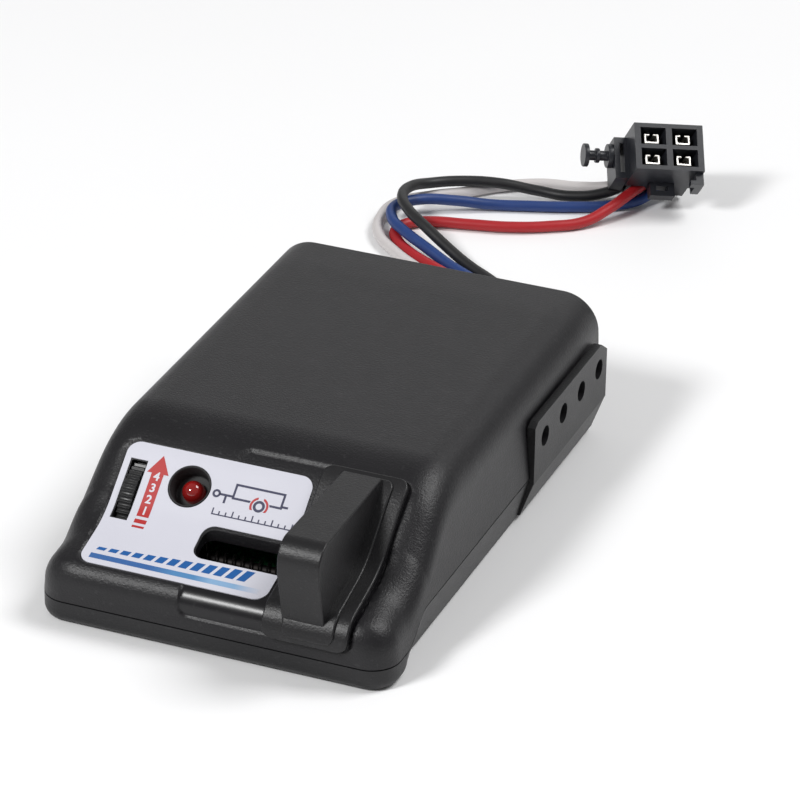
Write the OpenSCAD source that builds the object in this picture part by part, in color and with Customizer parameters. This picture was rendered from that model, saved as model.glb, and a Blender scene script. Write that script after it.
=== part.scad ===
// Trailer brake controller: a two-shell case with a sloped control panel, a hand lever that
// slides sideways, a gain thumbwheel, a lamp, a board inside, and a four-wire lead with its plug.
// The origin is the centre of the case's flat base. +Y runs to the back, +Z up.

/* [Case] */
// Width of the case at its seam
case_w = 83; // [81:0.5:86]
// Length of the case from its nose to its back wall
case_l = 130; // [129:0.5:134]
// Height of the case at its plateau
case_h = 34.6; // [34.2:0.2:36]
// Wall thickness of both shells
wall = 2.2; // [1.8:0.1:2.4]
// Radius of the long top edges
edge_r = 9; // [7:0.5:10]
// Radius of the front corners seen from above
corner_r = 6.7; // [5:0.5:8]

/* [Panel] */
// Slope of the nose behind its lip, in degrees
nose_slope = 14.5; // [14:0.5:15]
// Slope of the control panel, in degrees
panel_slope = 40; // [39:0.5:41]
// Radius of the nose's front lip
lip_r = 5; // [4.5:0.5:5.5]
// Depth of the recess that holds the label and guides the lever
recess_d = 0.5; // [0.4:0.1:0.6]

/* [Lever] */
// Thickness of the lever's finger fin
fin_w = 9.8; // [8:0.2:10.4]

/* [Thumbwheel] */
// Radius of the gain wheel
wheel_r = 11; // [10.6:0.1:11]
// Number of ridges round the wheel
wheel_ridges = 54; // [40:2:60]

/* [Side rails] */
// Distance between neighbouring rail holes
rail_pitch = 11.7; // [11:0.1:12]
// Radius of a rail hole
rail_hole_r = 2.4; // [2:0.1:2.6]

/* [Lead] */
// Diameter of one wire
wire_d = 2.8; // [2.4:0.1:2.8]

/* [Hidden] */
$fn = 48;
eps = 0.01;
half_w = case_w / 2;
front_y = -case_l / 2;
back_y = case_l / 2;
draft = tan(5);              // the upper case's sides lean in as they rise
seam_low = 5.3;              // height of the seam round the nose
seam_high = 11;              // height of the seam along the sides
seam_gap = 0.3;
floor_t = 2.4;
base_inset = 3.5;            // the lower case's sides lean in towards the base
foot_r = 2.5;

// the panel's profile: four tangent stretches, given from the nose's front face
nose_z = 14.1;               // where the nose's slope would meet the front face
panel_y = 25.6;              // a point on the panel's straight stretch
panel_z = 25.7;
dip_r = 20;                  // hollow between the nose and the panel
brow_r = 24;                 // round from the panel to the plateau
nose_t = tan(nose_slope);
panel_t = tan(panel_slope);
dip_y = (nose_z - panel_z + panel_y * panel_t) / (panel_t - nose_t);
dip_cy = dip_y - dip_r * (tan((panel_slope - nose_slope) / 2) * cos(nose_slope) + sin(nose_slope));
dip_cz = nose_z + nose_t * (dip_cy + dip_r * sin(nose_slope)) + dip_r * cos(nose_slope);
brow_cy = panel_y + (case_h - panel_z) / panel_t + brow_r * tan(panel_slope / 2);
brow_cz = case_h - brow_r;
lip_cz = nose_z - lip_r / cos(nose_slope) + nose_t * lip_r;

// label and lever track, across and along the panel
label_x = [-32.7, 11.2];
label_y = [3.4, 31.4];
label_t = 0.25;
track_x = [-7.4, 32.9];
track_low = 8.6;
track_high = 35;
plate_x = [12.5, 32.3];
plate_gap = 0.55;            // from the recess to the underside of the lever's plate
plate_t = 1.4;
fin_x = 17.1;
fin_top = 33.7;
fin_front = -3.3;
slot_x = [-9.3, 20.5];
slot_y = [11.7, 19.1];
stem_x = [12.6, 19.4];
stem_y = [12.9, 17.2];

// thumbwheel, with its axis along X
wheel_x = [-30.7, -27.7];
window_x = [-31, -27.4];
window_len = 14;
window_v = -3.9;             // along the panel's slope, from its point panel_y
wheel_sink = wheel_r - 0.6;
wheel_cy = panel_y + window_v * cos(panel_slope) + wheel_sink * sin(panel_slope);
wheel_cz = panel_z + window_v * sin(panel_slope) - wheel_sink * cos(panel_slope);
spindle_r = 1.5;
running = 0.05;

// lamp in its cup
lamp_x = -16;
lamp_v = -0.4;
cup_r = 4.4;
cup_depth = 4.4;
lamp_r = 2.5;

// lever's carriage, rod and slide control
carriage_x = [11.4, 21.6];
carriage_y = [9.8, 21.4];
carriage_z = [10.6, 13.8];
rod_y = 19.2;
rod_z = 12.3;
rod_r = 1.2;
rod_x = [-16.2, 36.3];
rod_post_x = [-16.5, 33.6];
rod_post_w = 3;
spring_r = 2.1;
spring_wire_r = 0.25;
spring_turns = 12;
slide_pot = [[-11.8, 9.7, 6.6], [29.6, 15.9, 10.3]];
slide_pins = [-10.4, -6, 24, 28.2];
wiper_w = 3.6;
groove_y = slide_pot[0][1] + 2.2;

// circuit board and what stands on it
board_z = 5;
board_t = 1.6;
board_top = board_z + board_t;
board_screws = [[-26, 52], [26, 52], [-26, 116], [26, 116]];
case_screws = [[-34.5, 6.8], [34.5, 6.8], [-32.2, 112], [32.2, 112]];
pilot_r = 1.35;
sink_y = [116, 118];
fet_x = [-12, 8];

// side rails
rail_y = [82.7, 129.6];
rail_top = 24.8;
rail_hole_y = 106.8;         // middle of the row of holes
rail_hole_z = 19;
rail_out = 1;                // the rail stands this far outside the seam's width
rail_t = 1.9;

// lead: grommet, routes and plug
grommet_x = 9.3;
grommet_z = 8.1;
wire_pitch = 3.4;
flange_t = 1.4;
tail_l = 10;
wire_y = back_y + flange_t;
plug_pos = [17, 181.5, 19.2];
plug_turn = 38;
plug_tilt = 46;
plug_roll = 9;
plug_w = 18;
plug_h = 12.6;
plug_l = 19;
cavity_w = 6.6;
cavity_h = 4.6;
cavity_x = 4.1;
cavity_z = 2.85;

// the wires' routes, from the grommet to the plug
white_route = [[4.2, wire_y, 8.1], [4.2, 71, 8.1], [4.2, 78.5, 4.9], [3.9, 86.5, 1.9], [2.2, 97, 1.4],
    [-3.2, 106.2, 1.4], [-11.4, 113.8, 1.4], [-20.2, 119.1, 1.4], [-29, 124.2, 1.4],
    [-37.7, 130.6, 1.4], [-44.8, 137.8, 1.4], [-48.9, 147.4, 1.4], [-47.9, 156.8, 1.4],
    [-41.5, 164.2, 1.4], [-33.5, 170.6, 1.4], [-26, 177.8, 1.4], [-17.5, 182.9, 1.4],
    [-8, 185.1, 1.4], [1, 187.4, 2.7], [7, 190.6, 4.6]];
red_route = [[7.6, wire_y, 8.1], [7.6, 71, 8.1], [7.6, 78.5, 4.9], [7.4, 86.5, 1.9], [5.6, 97, 1.4],
    [0.4, 107, 1.4], [-8, 115.6, 1.4], [-17, 121.6, 1.4], [-25.5, 126.4, 1.4],
    [-33.4, 131.2, 1.4], [-38.9, 136.2, 1.4], [-41.9, 141.8, 1.4], [-40.6, 147, 1.4],
    [-35.6, 150.2, 1.4], [-26.5, 152.6, 1.4], [-16, 155.5, 1.4], [-7, 160, 1.4],
    [0.3, 165.5, 1.8], [4.6, 171.5, 3.6], [7.4, 178.5, 5.1], [9, 185.5, 5.4]];
blue_route = [[11, wire_y, 8.1], [11, 71, 8.1], [11, 78.5, 4.9], [10.8, 86.5, 1.9], [9, 97, 1.4],
    [3.7, 107.8, 1.4], [-4.8, 117.2, 1.4], [-13.6, 123.6, 1.4], [-22, 128.2, 2],
    [-30, 132.4, 3.4], [-37.6, 137, 4.3], [-43.2, 142.6, 4.4], [-45.2, 149.8, 4.4],
    [-41, 156.1, 4.2], [-33.5, 161, 3.2], [-25, 165.6, 1.7], [-15.5, 169.2, 1.4],
    [-6, 172.9, 1.4], [2.5, 177.4, 1.4], [8.5, 182.5, 1.9], [12, 188, 3.4]];
black_route = [[14.4, wire_y, 8.1], [14.4, 71, 8.1], [14.4, 78.5, 4.9], [14.2, 86.5, 1.9], [12.4, 97, 1.4],
    [7.6, 108, 1.4], [-0.9, 118.1, 1.4], [-9.3, 124.9, 1.4], [-17.8, 129.9, 2.2],
    [-25.6, 134.1, 4.2], [-32.6, 138, 6.4], [-38.6, 142.6, 7.4], [-43.2, 149.2, 7.6],
    [-44.2, 157, 6.8], [-41.5, 164.6, 5.1], [-34.8, 170, 4.6], [-26, 173.6, 4.1],
    [-17, 176.4, 2.6], [-8, 177.6, 2.2], [0, 180.8, 3.2], [6, 186.2, 5.6]];

black_abs = "#232326";
tin = "#c9c9c4";

// ---- the case's shape ----

function clamp(v) = max(0, min(1, v));
function ease(v) = clamp(v) * clamp(v) * (3 - 2 * clamp(v));
function arc(cy, cz, r, from, to, n) = [
    for (i = [0 : n])
        let (a = from + (to - from) * i / n)
            [cy + r * cos(a), cz + r * sin(a)]];

// the panel's profile moved out by d, from the front face at height low to the angle last on the brow
function panel_path(d, low, last) = concat([[-d, low]],
    arc(lip_r, lip_cz, lip_r + d, 180, 90 + nose_slope, 8),
    arc(dip_cy, dip_cz, dip_r - d, nose_slope - 90, panel_slope - 90, 6),
    arc(brow_cy, brow_cz, brow_r + d, 90 + panel_slope, last, 8));
function brow_angle(y) = acos((y - brow_cy) / brow_r);
top_line = concat([for (p = panel_path(0, 0, 90)) if (p[1] > 1) p], [[case_l + 1, case_h]]);
function top_z(y) = lookup(y, top_line);
function seam_z(y) = seam_low + (seam_high - seam_low) * ease((y - 10.8) / 10.7);
function plan_w(y, r) = y < r ? half_w - r + sqrt(max(0, r * r - (r - y) * (r - y))) : half_w;

lip_ys = [for (p = arc(lip_r, lip_cz, lip_r, 178, 90 + nose_slope, 7)) p[0]];
shell_ys = concat(lip_ys, [5.2, 6.7, 9, 11, 12.6, 14.2, 15.8, 17.4, 19, 20.6, 22.4, 25],
    [for (p = arc(brow_cy, brow_cz, brow_r, 90 + panel_slope, 90, 7)) p[0]], [case_l]);

// one section across the upper case: up the right side, over the top and down the left
function shell_section(y, inset, bottom) = let (
        top = top_z(y) - inset,
        side = plan_w(y, corner_r) - inset,
        r = max(0.3, min(edge_r - inset, (top - bottom) * 0.75)),
        lean = draft * max(0, top - r - bottom),
        n = 6)
    concat([[side, y, bottom]],
        [for (i = [0 : n]) let (a = 90 * i / n)
            [side - lean - r + r * cos(a), y, top - r + r * sin(a)]],
        [for (i = [0 : n]) let (a = 90 + 90 * i / n)
            [-side + lean + r + r * cos(a), y, top - r + r * sin(a)]],
        [[-side, y, bottom]]);

// skins a list of sections that all have the same number of points
module loft(sections) {
    n = len(sections[0]);
    m = len(sections);
    points = [for (s = sections, p = s) p];
    sides = [for (j = [0 : m - 2], i = [0 : n - 1]) let (a = j * n + i, b = j * n + (i + 1) % n)
        each [[a, b, b + n], [a, b + n, a + n]]];
    ends = [[for (i = [n - 1 : -1 : 0]) i], [for (i = [0 : n - 1]) (m - 1) * n + i]];
    polyhedron(points, concat(sides, ends));
}

// x runs across, and the outline is drawn in the case's Y and Z, measured from its nose
module along_x(x0, x1) {
    translate([x0, 0, 0]) rotate([90, 0, 90]) linear_extrude(x1 - x0) children();
}

module from_nose() {
    translate([0, front_y, 0]) children();
}

// local frame on the panel: +Y up the slope, +Z out of it
module on_panel(x, v) {
    translate([x, panel_y, panel_z]) rotate([panel_slope, 0, 0]) translate([0, v, 0]) children();
}

module block(low, high) {
    translate(low) cube(high - low);
}

module strip(low_d, high_d, low_y, start_z) {
    outer = panel_path(high_d, start_z, brow_angle(low_y));
    inner = panel_path(low_d, start_z, brow_angle(low_y));
    polygon(concat(outer, [for (i = [len(inner) - 1 : -1 : 0]) inner[i]]));
}

module upper_case() {
    cavity_ys = [wall, 3.4, 5.2, 9, 12.6, 15.8, 19, 22.4, 29.5, 33, 36.5, 40.5, 45, case_l - wall];
    color(black_abs) from_nose() difference() {
        union() {
            difference() {
                loft([for (y = shell_ys) shell_section(y, 0, seam_z(y) + seam_gap)]);
                loft([for (y = cavity_ys) shell_section(y, wall, seam_low - 3)]);
            }
            on_panel(lamp_x, lamp_v) translate([0, 0, -cup_depth - 1.4])
                cylinder(r = cup_r + 1.4, h = cup_depth + 0.6);
            for (p = case_screws) translate([p[0], p[1], seam_low + 0.2])
                cylinder(r = 3.1, h = top_z(p[1]) - seam_low - 2);
        }
        along_x(track_x[0], track_x[1]) strip(-recess_d, 4, track_high, track_low);
        along_x(label_x[0] - 0.3, label_x[1] + 0.3) intersection() {
            strip(-recess_d, 4, label_y[1] + 0.3, 6);
            translate([label_y[0] - 0.3, 0]) square([40, 60]);
        }
        block([slot_x[0], slot_y[0], 10], [slot_x[1], slot_y[1], 30]);
        on_panel(0, window_v) block([window_x[0], -window_len / 2, -8], [window_x[1], window_len / 2, 4]);
        translate([window_x[0], wheel_cy, wheel_cz]) rotate([0, 90, 0])
            cylinder(r = wheel_r + 0.6, h = window_x[1] - window_x[0]);
        on_panel(lamp_x, lamp_v) {
            translate([0, 0, -cup_depth]) cylinder(r = cup_r, h = cup_depth + 3);
            translate([0, 0, -cup_depth - 3]) cylinder(r = lamp_r + running, h = 4);
        }
        for (p = case_screws) translate([p[0], p[1], seam_low]) cylinder(r = pilot_r, h = 7);
        for (s = [-1, 1]) block([s * (half_w + 0.35) - 1.65, rail_y[0] - 0.6, 0],
            [s * (half_w + 0.35) + 1.65, case_l + 1, rail_top + 0.6]);
    }
}

// one section across the lower case, leaning in more behind the nose than under it
function tray_section(y) = let (
        top = seam_z(y),
        side = plan_w(y, corner_r),
        lean = ease((y - 8) / 12),
        low = y < foot_r ? foot_r - sqrt(foot_r * foot_r - (foot_r - y) * (foot_r - y)) : 0,
        knee = side - lean * (base_inset - 0.8),
        foot = knee - foot_r * (1 - 0.6 * lean))
    [[-side, y, top], [-knee, y, low + foot_r * (1 - 0.5 * lean)], [-knee + 0.7, y, low + 0.7],
        [-foot, y, low], [foot, y, low], [knee - 0.7, y, low + 0.7],
        [knee, y, low + foot_r * (1 - 0.5 * lean)], [side, y, top]];

module rail(side) {
    outer = side * (half_w + rail_out);
    inner = side * (half_w + rail_out - rail_t);
    profile = [[rail_y[0], 0.9], [rail_y[0], rail_top - 1], [rail_y[0] + 1.8, rail_top],
        [rail_y[1] - 4, rail_top], [rail_y[1], rail_top - 2.8], [rail_y[1], 0.9]];
    difference() {
        union() {
            intersection() {
                along_x(min(outer, inner), max(outer, inner)) polygon(profile);
                block([-60, 0, 9.6], [60, case_l, 40]);
            }
            // the rail's foot leans in with the side of the case
            intersection() {
                along_x(-60, 60) polygon(profile);
                rotate([90, 0, 0]) mirror([0, 0, 1]) linear_extrude(case_l)
                    polygon([[outer, 9.7], [outer - side * 3.2, 0.9], [outer - side * 6, 0.9],
                        [outer - side * 2.9, 9.7]]);
            }
        }
        for (k = [-1.5 : 1 : 1.5]) translate([outer - side * 4, rail_hole_y + k * rail_pitch, rail_hole_z])
            rotate([0, side * 90, 0]) cylinder(r = rail_hole_r, h = 8);
    }
}

module lower_case() {
    tray_ys = [0.02, 0.4, 1.2, 2.5, 4, 6.7, 9, 11.6, 12.6, 13.6, 14.8, 16, 17.2, 18.4, 19.6, 21.5, case_l];
    color("#2b2b2e") from_nose() difference() {
        union() {
            difference() {
                loft([for (y = tray_ys) tray_section(y)]);
                loft([for (y = [wall, 6.7, 12, case_l - wall])
                    let (w = plan_w(y - wall, corner_r) - base_inset - wall)
                    [[-w - 1.6, y, 14], [-w, y, floor_t], [w, y, floor_t], [w + 1.6, y, 14]]]);
            }
            for (p = case_screws)
                translate([p[0], p[1], floor_t - 0.4]) cylinder(r = 4.4, h = seam_low - floor_t + 0.2);
            for (p = board_screws)
                translate([p[0], p[1], floor_t - 0.4]) cylinder(r = 3, h = board_z - floor_t + 0.4);
            for (x = rod_post_x)
                block([x, rod_y - 2.6, floor_t - 0.4], [x + rod_post_w, rod_y + 2.6, rod_z + 2.1]);
            for (side = [-1, 1]) rail(side);
        }
        for (p = case_screws) translate([p[0], p[1], -1]) {
            cylinder(r = 1.7, h = 12);
            cylinder(r = 3.1, h = 3.2);
        }
        for (p = board_screws) translate([p[0], p[1], floor_t - 1.2]) cylinder(r = pilot_r, h = 6);
        translate([rod_x[0] - 0.1, rod_y, rod_z]) rotate([0, 90, 0])
            cylinder(r = rod_r, h = rod_x[1] - rod_x[0] + 0.2);
        block([grommet_x - 7.7, case_l - wall - 1, grommet_z - 2.8], [grommet_x + 7.7, case_l + 1, 20]);
    }
}

// ---- label, lever and thumbwheel ----

module panel_label() {
    color("white") from_nose() difference() {
        along_x(label_x[0], label_x[1]) intersection() {
            strip(-recess_d, -recess_d + label_t, label_y[1], 6);
            translate([label_y[0], 0]) square([40, 60]);
        }
        block([slot_x[0] - 0.5, slot_y[0] - 0.5, 8], [slot_x[1], slot_y[1] + 0.5, 30]);
        on_panel(0, window_v) block([window_x[0] - 0.2, -window_len / 2 - 0.2, -8],
            [window_x[1] + 0.2, window_len / 2 + 0.2, 4]);
        on_panel(lamp_x, lamp_v) translate([0, 0, -6]) cylinder(r = cup_r + 0.25, h = 12);
    }
}

module slide_lever() {
    low = -recess_d + plate_gap;
    high = low + plate_t;
    fin_back = 31.6;
    fin_r = 5;
    fin_floor = [for (p = panel_path(high - 0.4, 12.2, brow_angle(fin_back))) p];
    color(black_abs) from_nose() {
        difference() {
            union() {
                along_x(plate_x[0], plate_x[1]) strip(low, high, track_high - 0.6, track_low + 0.4);
                along_x(plate_x[0] + 1.8, plate_x[1] - 3)
                    strip(low + 0.2, high + 0.6, track_high - 1.8, track_low + 1.4);
                along_x(fin_x, fin_x + fin_w) polygon(concat([[-0.7, 12.2], [fin_front, 26]],
                    arc(fin_front + fin_r, fin_top - fin_r, fin_r, 180, 90, 8), [[fin_back, fin_top]],
                    [for (i = [len(fin_floor) - 1 : -1 : 1]) fin_floor[i]]));
                block([stem_x[0], stem_y[0], carriage_z[1]], [stem_x[1], stem_y[1], 18.4]);
            }
            translate([(stem_x[0] + stem_x[1]) / 2, (stem_y[0] + stem_y[1]) / 2, carriage_z[1] - 1])
                cylinder(r = 0.9, h = 5);
        }
    }
}

module lever_carriage() {
    mid_x = (stem_x[0] + stem_x[1]) / 2;
    mid_y = (stem_y[0] + stem_y[1]) / 2;
    color("#d8d4c8") from_nose() difference() {
        block([carriage_x[0], carriage_y[0], carriage_z[0]], [carriage_x[1], carriage_y[1], carriage_z[1]]);
        translate([carriage_x[0] - 1, rod_y, rod_z]) rotate([0, 90, 0]) cylinder(r = rod_r + running, h = 14);
        translate([mid_x, mid_y, carriage_z[0] - 1]) {
            cylinder(r = 1.1, h = 6);
            cylinder(r = 2.3, h = 2.4);
        }
        block([mid_x - wiper_w / 2 - 0.05, groove_y - 0.5, carriage_z[0] - 1],
            [mid_x + wiper_w / 2 + 0.05, groove_y + 0.5, carriage_z[0] + 1.2]);
    }
}

module carriage_screw() {
    translate([(stem_x[0] + stem_x[1]) / 2, front_y + (stem_y[0] + stem_y[1]) / 2, carriage_z[0] + 1.35])
        color(tin) mirror([0, 0, 1]) screw_head(2.1, 5, 0.9);
}

module guide_rod() {
    color(tin) translate([rod_x[0], front_y + rod_y, rod_z]) rotate([0, 90, 0])
        cylinder(r = rod_r, h = rod_x[1] - rod_x[0]);
}

module return_spring() {
    x0 = rod_post_x[0] + rod_post_w;
    length = carriage_x[0] - x0;
    steps = spring_turns * 8;
    rise = (length - 2 * spring_wire_r) / steps;
    color(tin) translate([x0 + spring_wire_r, front_y + rod_y, rod_z])
        loft([for (i = [0 : steps]) [for (k = [0 : 4]) let (a = i * 45, b = k * 72)
            [i * rise + spring_wire_r * sin(b), (spring_r + spring_wire_r * cos(b)) * cos(a),
                (spring_r + spring_wire_r * cos(b)) * sin(a)]]]);
}

module slide_control() {
    color("#8f9296") from_nose() difference() {
        union() {
            block(slide_pot[0], slide_pot[1]);
            for (x = slide_pins)
                translate([x, slide_pot[0][1] + 0.9, board_z - 1.2]) cylinder(r = 0.4, h = 3);
        }
        block([slide_pot[0][0] + 2, groove_y - 1, 8.2], [slide_pot[1][0] - 2, groove_y + 1, 12]);
    }
}

module slide_wiper() {
    mid_x = (stem_x[0] + stem_x[1]) / 2;
    color("#55504a") from_nose() block([mid_x - wiper_w / 2, groove_y - 0.4, 8.6],
        [mid_x + wiper_w / 2, groove_y + 0.4, 11.7]);
}

module gain_wheel() {
    pitch = 360 / wheel_ridges;
    rim = [for (i = [0 : wheel_ridges - 1], p = [[0, 0], [0.32, 0.45], [0.62, 0.45], [0.94, 0]])
        (wheel_r - p[1]) * [cos((i + p[0]) * pitch), sin((i + p[0]) * pitch)]];
    color("#1b1b1d") translate([wheel_x[0], front_y + wheel_cy, wheel_cz]) rotate([90, 0, 90]) difference() {
        union() {
            linear_extrude(wheel_x[1] - wheel_x[0]) polygon(rim);
            cylinder(r = 3.4, h = wheel_x[1] - wheel_x[0] + 0.5);
        }
        translate([0, 0, -1]) cylinder(r = spindle_r, h = 8);
        translate([0, 0, -1]) difference() {
            cylinder(r = wheel_r - 2.4, h = 2);
            cylinder(r = 3.6, h = 2);
        }
    }
}

module gain_spindle() {
    color("#e6e2d6") translate([wheel_x[0] + 0.2, front_y + wheel_cy, wheel_cz])
    rotate([0, 90, 0]) difference() {
        cylinder(r = spindle_r, h = 8.2);
        block([-0.3, -spindle_r - 1, -1], [0.3, spindle_r + 1, 0.8]);
    }
}

module gain_control() {
    x0 = wheel_x[1] + 1.1;
    color("#2f4d8a") from_nose() {
        difference() {
            union() {
                block([x0, wheel_cy - 4.8, wheel_cz - 5.4], [x0 + 4.6, wheel_cy + 4.8, wheel_cz + 5.2]);
                for (k = [-1 : 1]) translate([x0 + 2.3, wheel_cy + k * 2.5, board_z - 1.2])
                    cylinder(r = 0.35, h = wheel_cz - 5 - board_z + 1.2);
            }
            translate([x0 - 1, wheel_cy, wheel_cz]) rotate([0, 90, 0])
                cylinder(r = spindle_r + running, h = 5.3);
        }
    }
}

module status_lamp() {
    color("#d5151a") from_nose() {
        on_panel(lamp_x, lamp_v) {
            translate([0, 0, -cup_depth + 1]) sphere(r = lamp_r);
            translate([0, 0, -cup_depth - 4.6]) cylinder(r = lamp_r, h = 5.6);
            translate([0, 0, -cup_depth - 4.6]) cylinder(r = 2.9, h = 1);
        }
        for (s = [-1, 1])
            translate([lamp_x + s * 1.27, 31.3, board_z - 1]) cylinder(r = 0.3, h = 15, $fn = 16);
    }
}

// ---- board and electronics ----

module circuit_board() {
    color("#1f6b3a") from_nose() difference() {
        union() {
            block([-29.5, 42, board_z], [29.5, 122, board_top]);
            block([-26, 24, board_z], [29.5, 42 + eps, board_top]);
            block([-12.8, 9.4, board_z], [29.8, 24 + eps, board_top]);
        }
        for (p = board_screws) translate([p[0], p[1], board_z - 1]) cylinder(r = 1.6, h = 4);
        for (x = slide_pins)
            translate([x, slide_pot[0][1] + 0.9, board_z - 1]) cylinder(r = 0.5, h = 4);
        for (k = [-1 : 1])
            translate([wheel_x[1] + 3.4, wheel_cy + k * 2.5, board_z - 1]) cylinder(r = 0.5, h = 4);
        for (s = [-1, 1]) translate([lamp_x + s * 1.27, 31.3, board_z - 1]) cylinder(r = 0.5, h = 4);
    }
}

// a pan head with a crossed slot; its underside is at z = 0 and its shank goes down
module screw_head(r, shank, shank_r = pilot_r - running) {
    difference() {
        union() {
            cylinder(r = r, h = r * 0.55);
            translate([0, 0, -shank]) cylinder(r = shank_r, h = shank + eps);
        }
        for (a = [0, 90]) rotate([0, 0, a]) block([-r * 0.6, -r * 0.14, r * 0.2], [r * 0.6, r * 0.14, r]);
    }
}

module board_screws() {
    color(tin) from_nose() for (p = board_screws) translate([p[0], p[1], board_top]) screw_head(2.6, 4.6);
}

module case_screws() {
    color("#3a3a3c") from_nose() for (p = case_screws) translate([p[0], p[1], 2.2]) mirror([0, 0, 1])
        screw_head(2.8, 9.6);
}

module heat_sink() {
    color("#b9bcc0") from_nose() difference() {
        union() {
            block([-22, sink_y[0], board_top], [18.4, sink_y[1], 29]);
            for (k = [0 : 5])
                block([-22 + k * 7.84, sink_y[1] - eps, 12], [-20.8 + k * 7.84, sink_y[1] + 5, 29]);
        }
        for (x = fet_x) translate([x, sink_y[0] - 1, 23]) rotate([-90, 0, 0]) cylinder(r = 1.5, h = 4);
    }
}

module power_transistors() {
    from_nose() for (x = fet_x) {
        color("#222224") difference() {
            block([x - 5, sink_y[0] - 4.4, 10], [x + 5, sink_y[0] - 1.3, 19.2]);
            translate([x, sink_y[0] - 5, 17.4]) rotate([-90, 0, 0]) cylinder(r = 0.8, h = 0.9);
        }
        color(tin) {
            difference() {
                block([x - 5, sink_y[0] - 1.3, 10], [x + 5, sink_y[0], 25.6]);
                translate([x, sink_y[0] - 2, 23]) rotate([-90, 0, 0]) cylinder(r = 1.75, h = 4);
            }
            for (k = [-1 : 1])
                block([x + k * 2.54 - 0.4, sink_y[0] - 2.9, board_top],
                    [x + k * 2.54 + 0.4, sink_y[0] - 2.4, 10 + eps]);
        }
    }
}

module transistor_screws() {
    color("#8d8f93") from_nose() for (x = fet_x) translate([x, sink_y[0] - 1.3, 23]) rotate([90, 0, 0])
        screw_head(2.7, 3.4);
}

module capacitors() {
    from_nose() for (c = [[-18, 66, 5, 15], [-5, 66, 5, 15], [10, 64, 4, 12]])
    translate([c[0], c[1], board_top]) {
        color("#23306b") difference() {
            cylinder(r = c[2], h = c[3]);
            for (a = [0, 90]) rotate([0, 0, a])
                block([-c[2] * 0.7, -0.2, c[3] - 0.3], [c[2] * 0.7, 0.2, c[3] + 1]);
            translate([0, 0, 1.4]) difference() {
                cylinder(r = c[2] + 1, h = 0.7);
                cylinder(r = c[2] - 0.3, h = 0.7);
            }
        }
    }
}

module control_chips() {
    from_nose() for (c = [[-12, 88, 7], [10, 86, 4]]) translate([c[0], c[1], board_top]) {
        pins = c[2];
        color("#1c1c1e") difference() {
            block([-pins * 1.27, -3.2, 0.5], [pins * 1.27, 3.2, 4]);
            translate([-pins * 1.27, 0, 3.6]) cylinder(r = 1, h = 1);
        }
        color(tin) for (k = [0 : pins - 1], s = [-1, 1])
            block([(k - (pins - 1) / 2) * 2.54 - 0.25, s * 3.6 - 0.4, 0],
                [(k - (pins - 1) / 2) * 2.54 + 0.25, s * 3.6 + 0.4, 2.4]);
    }
}

module axial(length, r) {
    rotate([0, 90, 0]) translate([0, 0, -length / 2]) {
        cylinder(r = r * 0.92, h = length);
        cylinder(r = r, h = length * 0.25);
        translate([0, 0, length * 0.75]) cylinder(r = r, h = length * 0.25);
    }
    for (s = [-1, 1]) {
        translate([s * (length / 2 + 1), 0, 0.25]) mirror([0, 0, 1]) cylinder(r = 0.3, h = 1.6);
        translate([s * (length / 2 + 0.5), 0, 0]) rotate([0, 90, 0])
            cylinder(r = 0.3, h = 1.6, center = true);
    }
}

module resistors() {
    color("#cbb28a") from_nose() for (k = [0 : 5])
        translate([-18 + k % 3 * 12, k < 3 ? 46 : 51, board_top + 1.35]) axial(6.2, 1.15);
}

module flyback_diode() {
    color("#2a2a2c") from_nose() translate([18, 96, board_top + 2.7]) {
        axial(9.4, 2.6);
        for (s = [-1, 1]) translate([s * 5.7, 0, -2.7]) cylinder(r = 0.5, h = 2.6);
    }
}

// ---- lead and plug ----

module wire_grommet() {
    color("#161617") difference() {
        union() {
            block([grommet_x - 9, back_y, grommet_z - 3.8],
                [grommet_x + 9, back_y + flange_t, grommet_z + 3.4]);
            block([grommet_x - 7.6, back_y - wall - eps, grommet_z - 2.7],
                [grommet_x + 7.6, back_y + eps, grommet_z + 2.7]);
            block([grommet_x - 8.6, back_y - wall - 1.5, grommet_z - 3.3],
                [grommet_x + 8.6, back_y - wall, grommet_z + 3.3]);
        }
        for (k = [-1.5 : 1 : 1.5]) translate([grommet_x + k * wire_pitch, back_y - 5, grommet_z])
            rotate([-90, 0, 0]) cylinder(r = wire_d / 2, h = 8);
    }
}

// the wires' ends inside the case, each turned down to the board
module wire_tails() {
    for (k = [0 : 3]) color(["white", "red", "blue", "black"][k])
        translate([grommet_x + (k - 1.5) * wire_pitch, back_y - tail_l, grommet_z]) {
            rotate([-90, 0, 0]) cylinder(r = wire_d / 2, h = tail_l + flange_t);
            translate([0, 0.7, board_top - grommet_z]) cylinder(r = 0.5, h = grommet_z - board_top);
        }
}

function unit(v) = v / norm(v);
function route_ring(route, i, r, n) = let (
        ahead = route[min(i + 1, len(route) - 1)],
        behind = route[max(i - 1, 0)],
        along = unit(ahead - behind),
        side = unit(cross(along, [0, 0, 1])),
        up = cross(side, along))
    [for (k = [0 : n - 1]) let (a = 360 * (k + 0.5) / n) route[i] + r * (cos(a) * side + sin(a) * up)];

module wire(route, shade) {
    color(shade) loft([for (i = [0 : len(route) - 1]) route_ring(route, i, wire_d / 2, 8)]);
}

module wire_white() { wire(white_route, "#ececea"); }
module wire_red() { wire(red_route, "#c8202a"); }
module wire_blue() { wire(blue_route, "#23489a"); }
module wire_black() { wire(black_route, "#1d1d1f"); }

// the plug's own frame: +X across its face, +Y from the face back to the wires
module at_plug() {
    translate(plug_pos) rotate([0, 0, plug_turn]) rotate([-plug_tilt, 0, 0])
        rotate([0, plug_roll, 0]) children();
}

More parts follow.
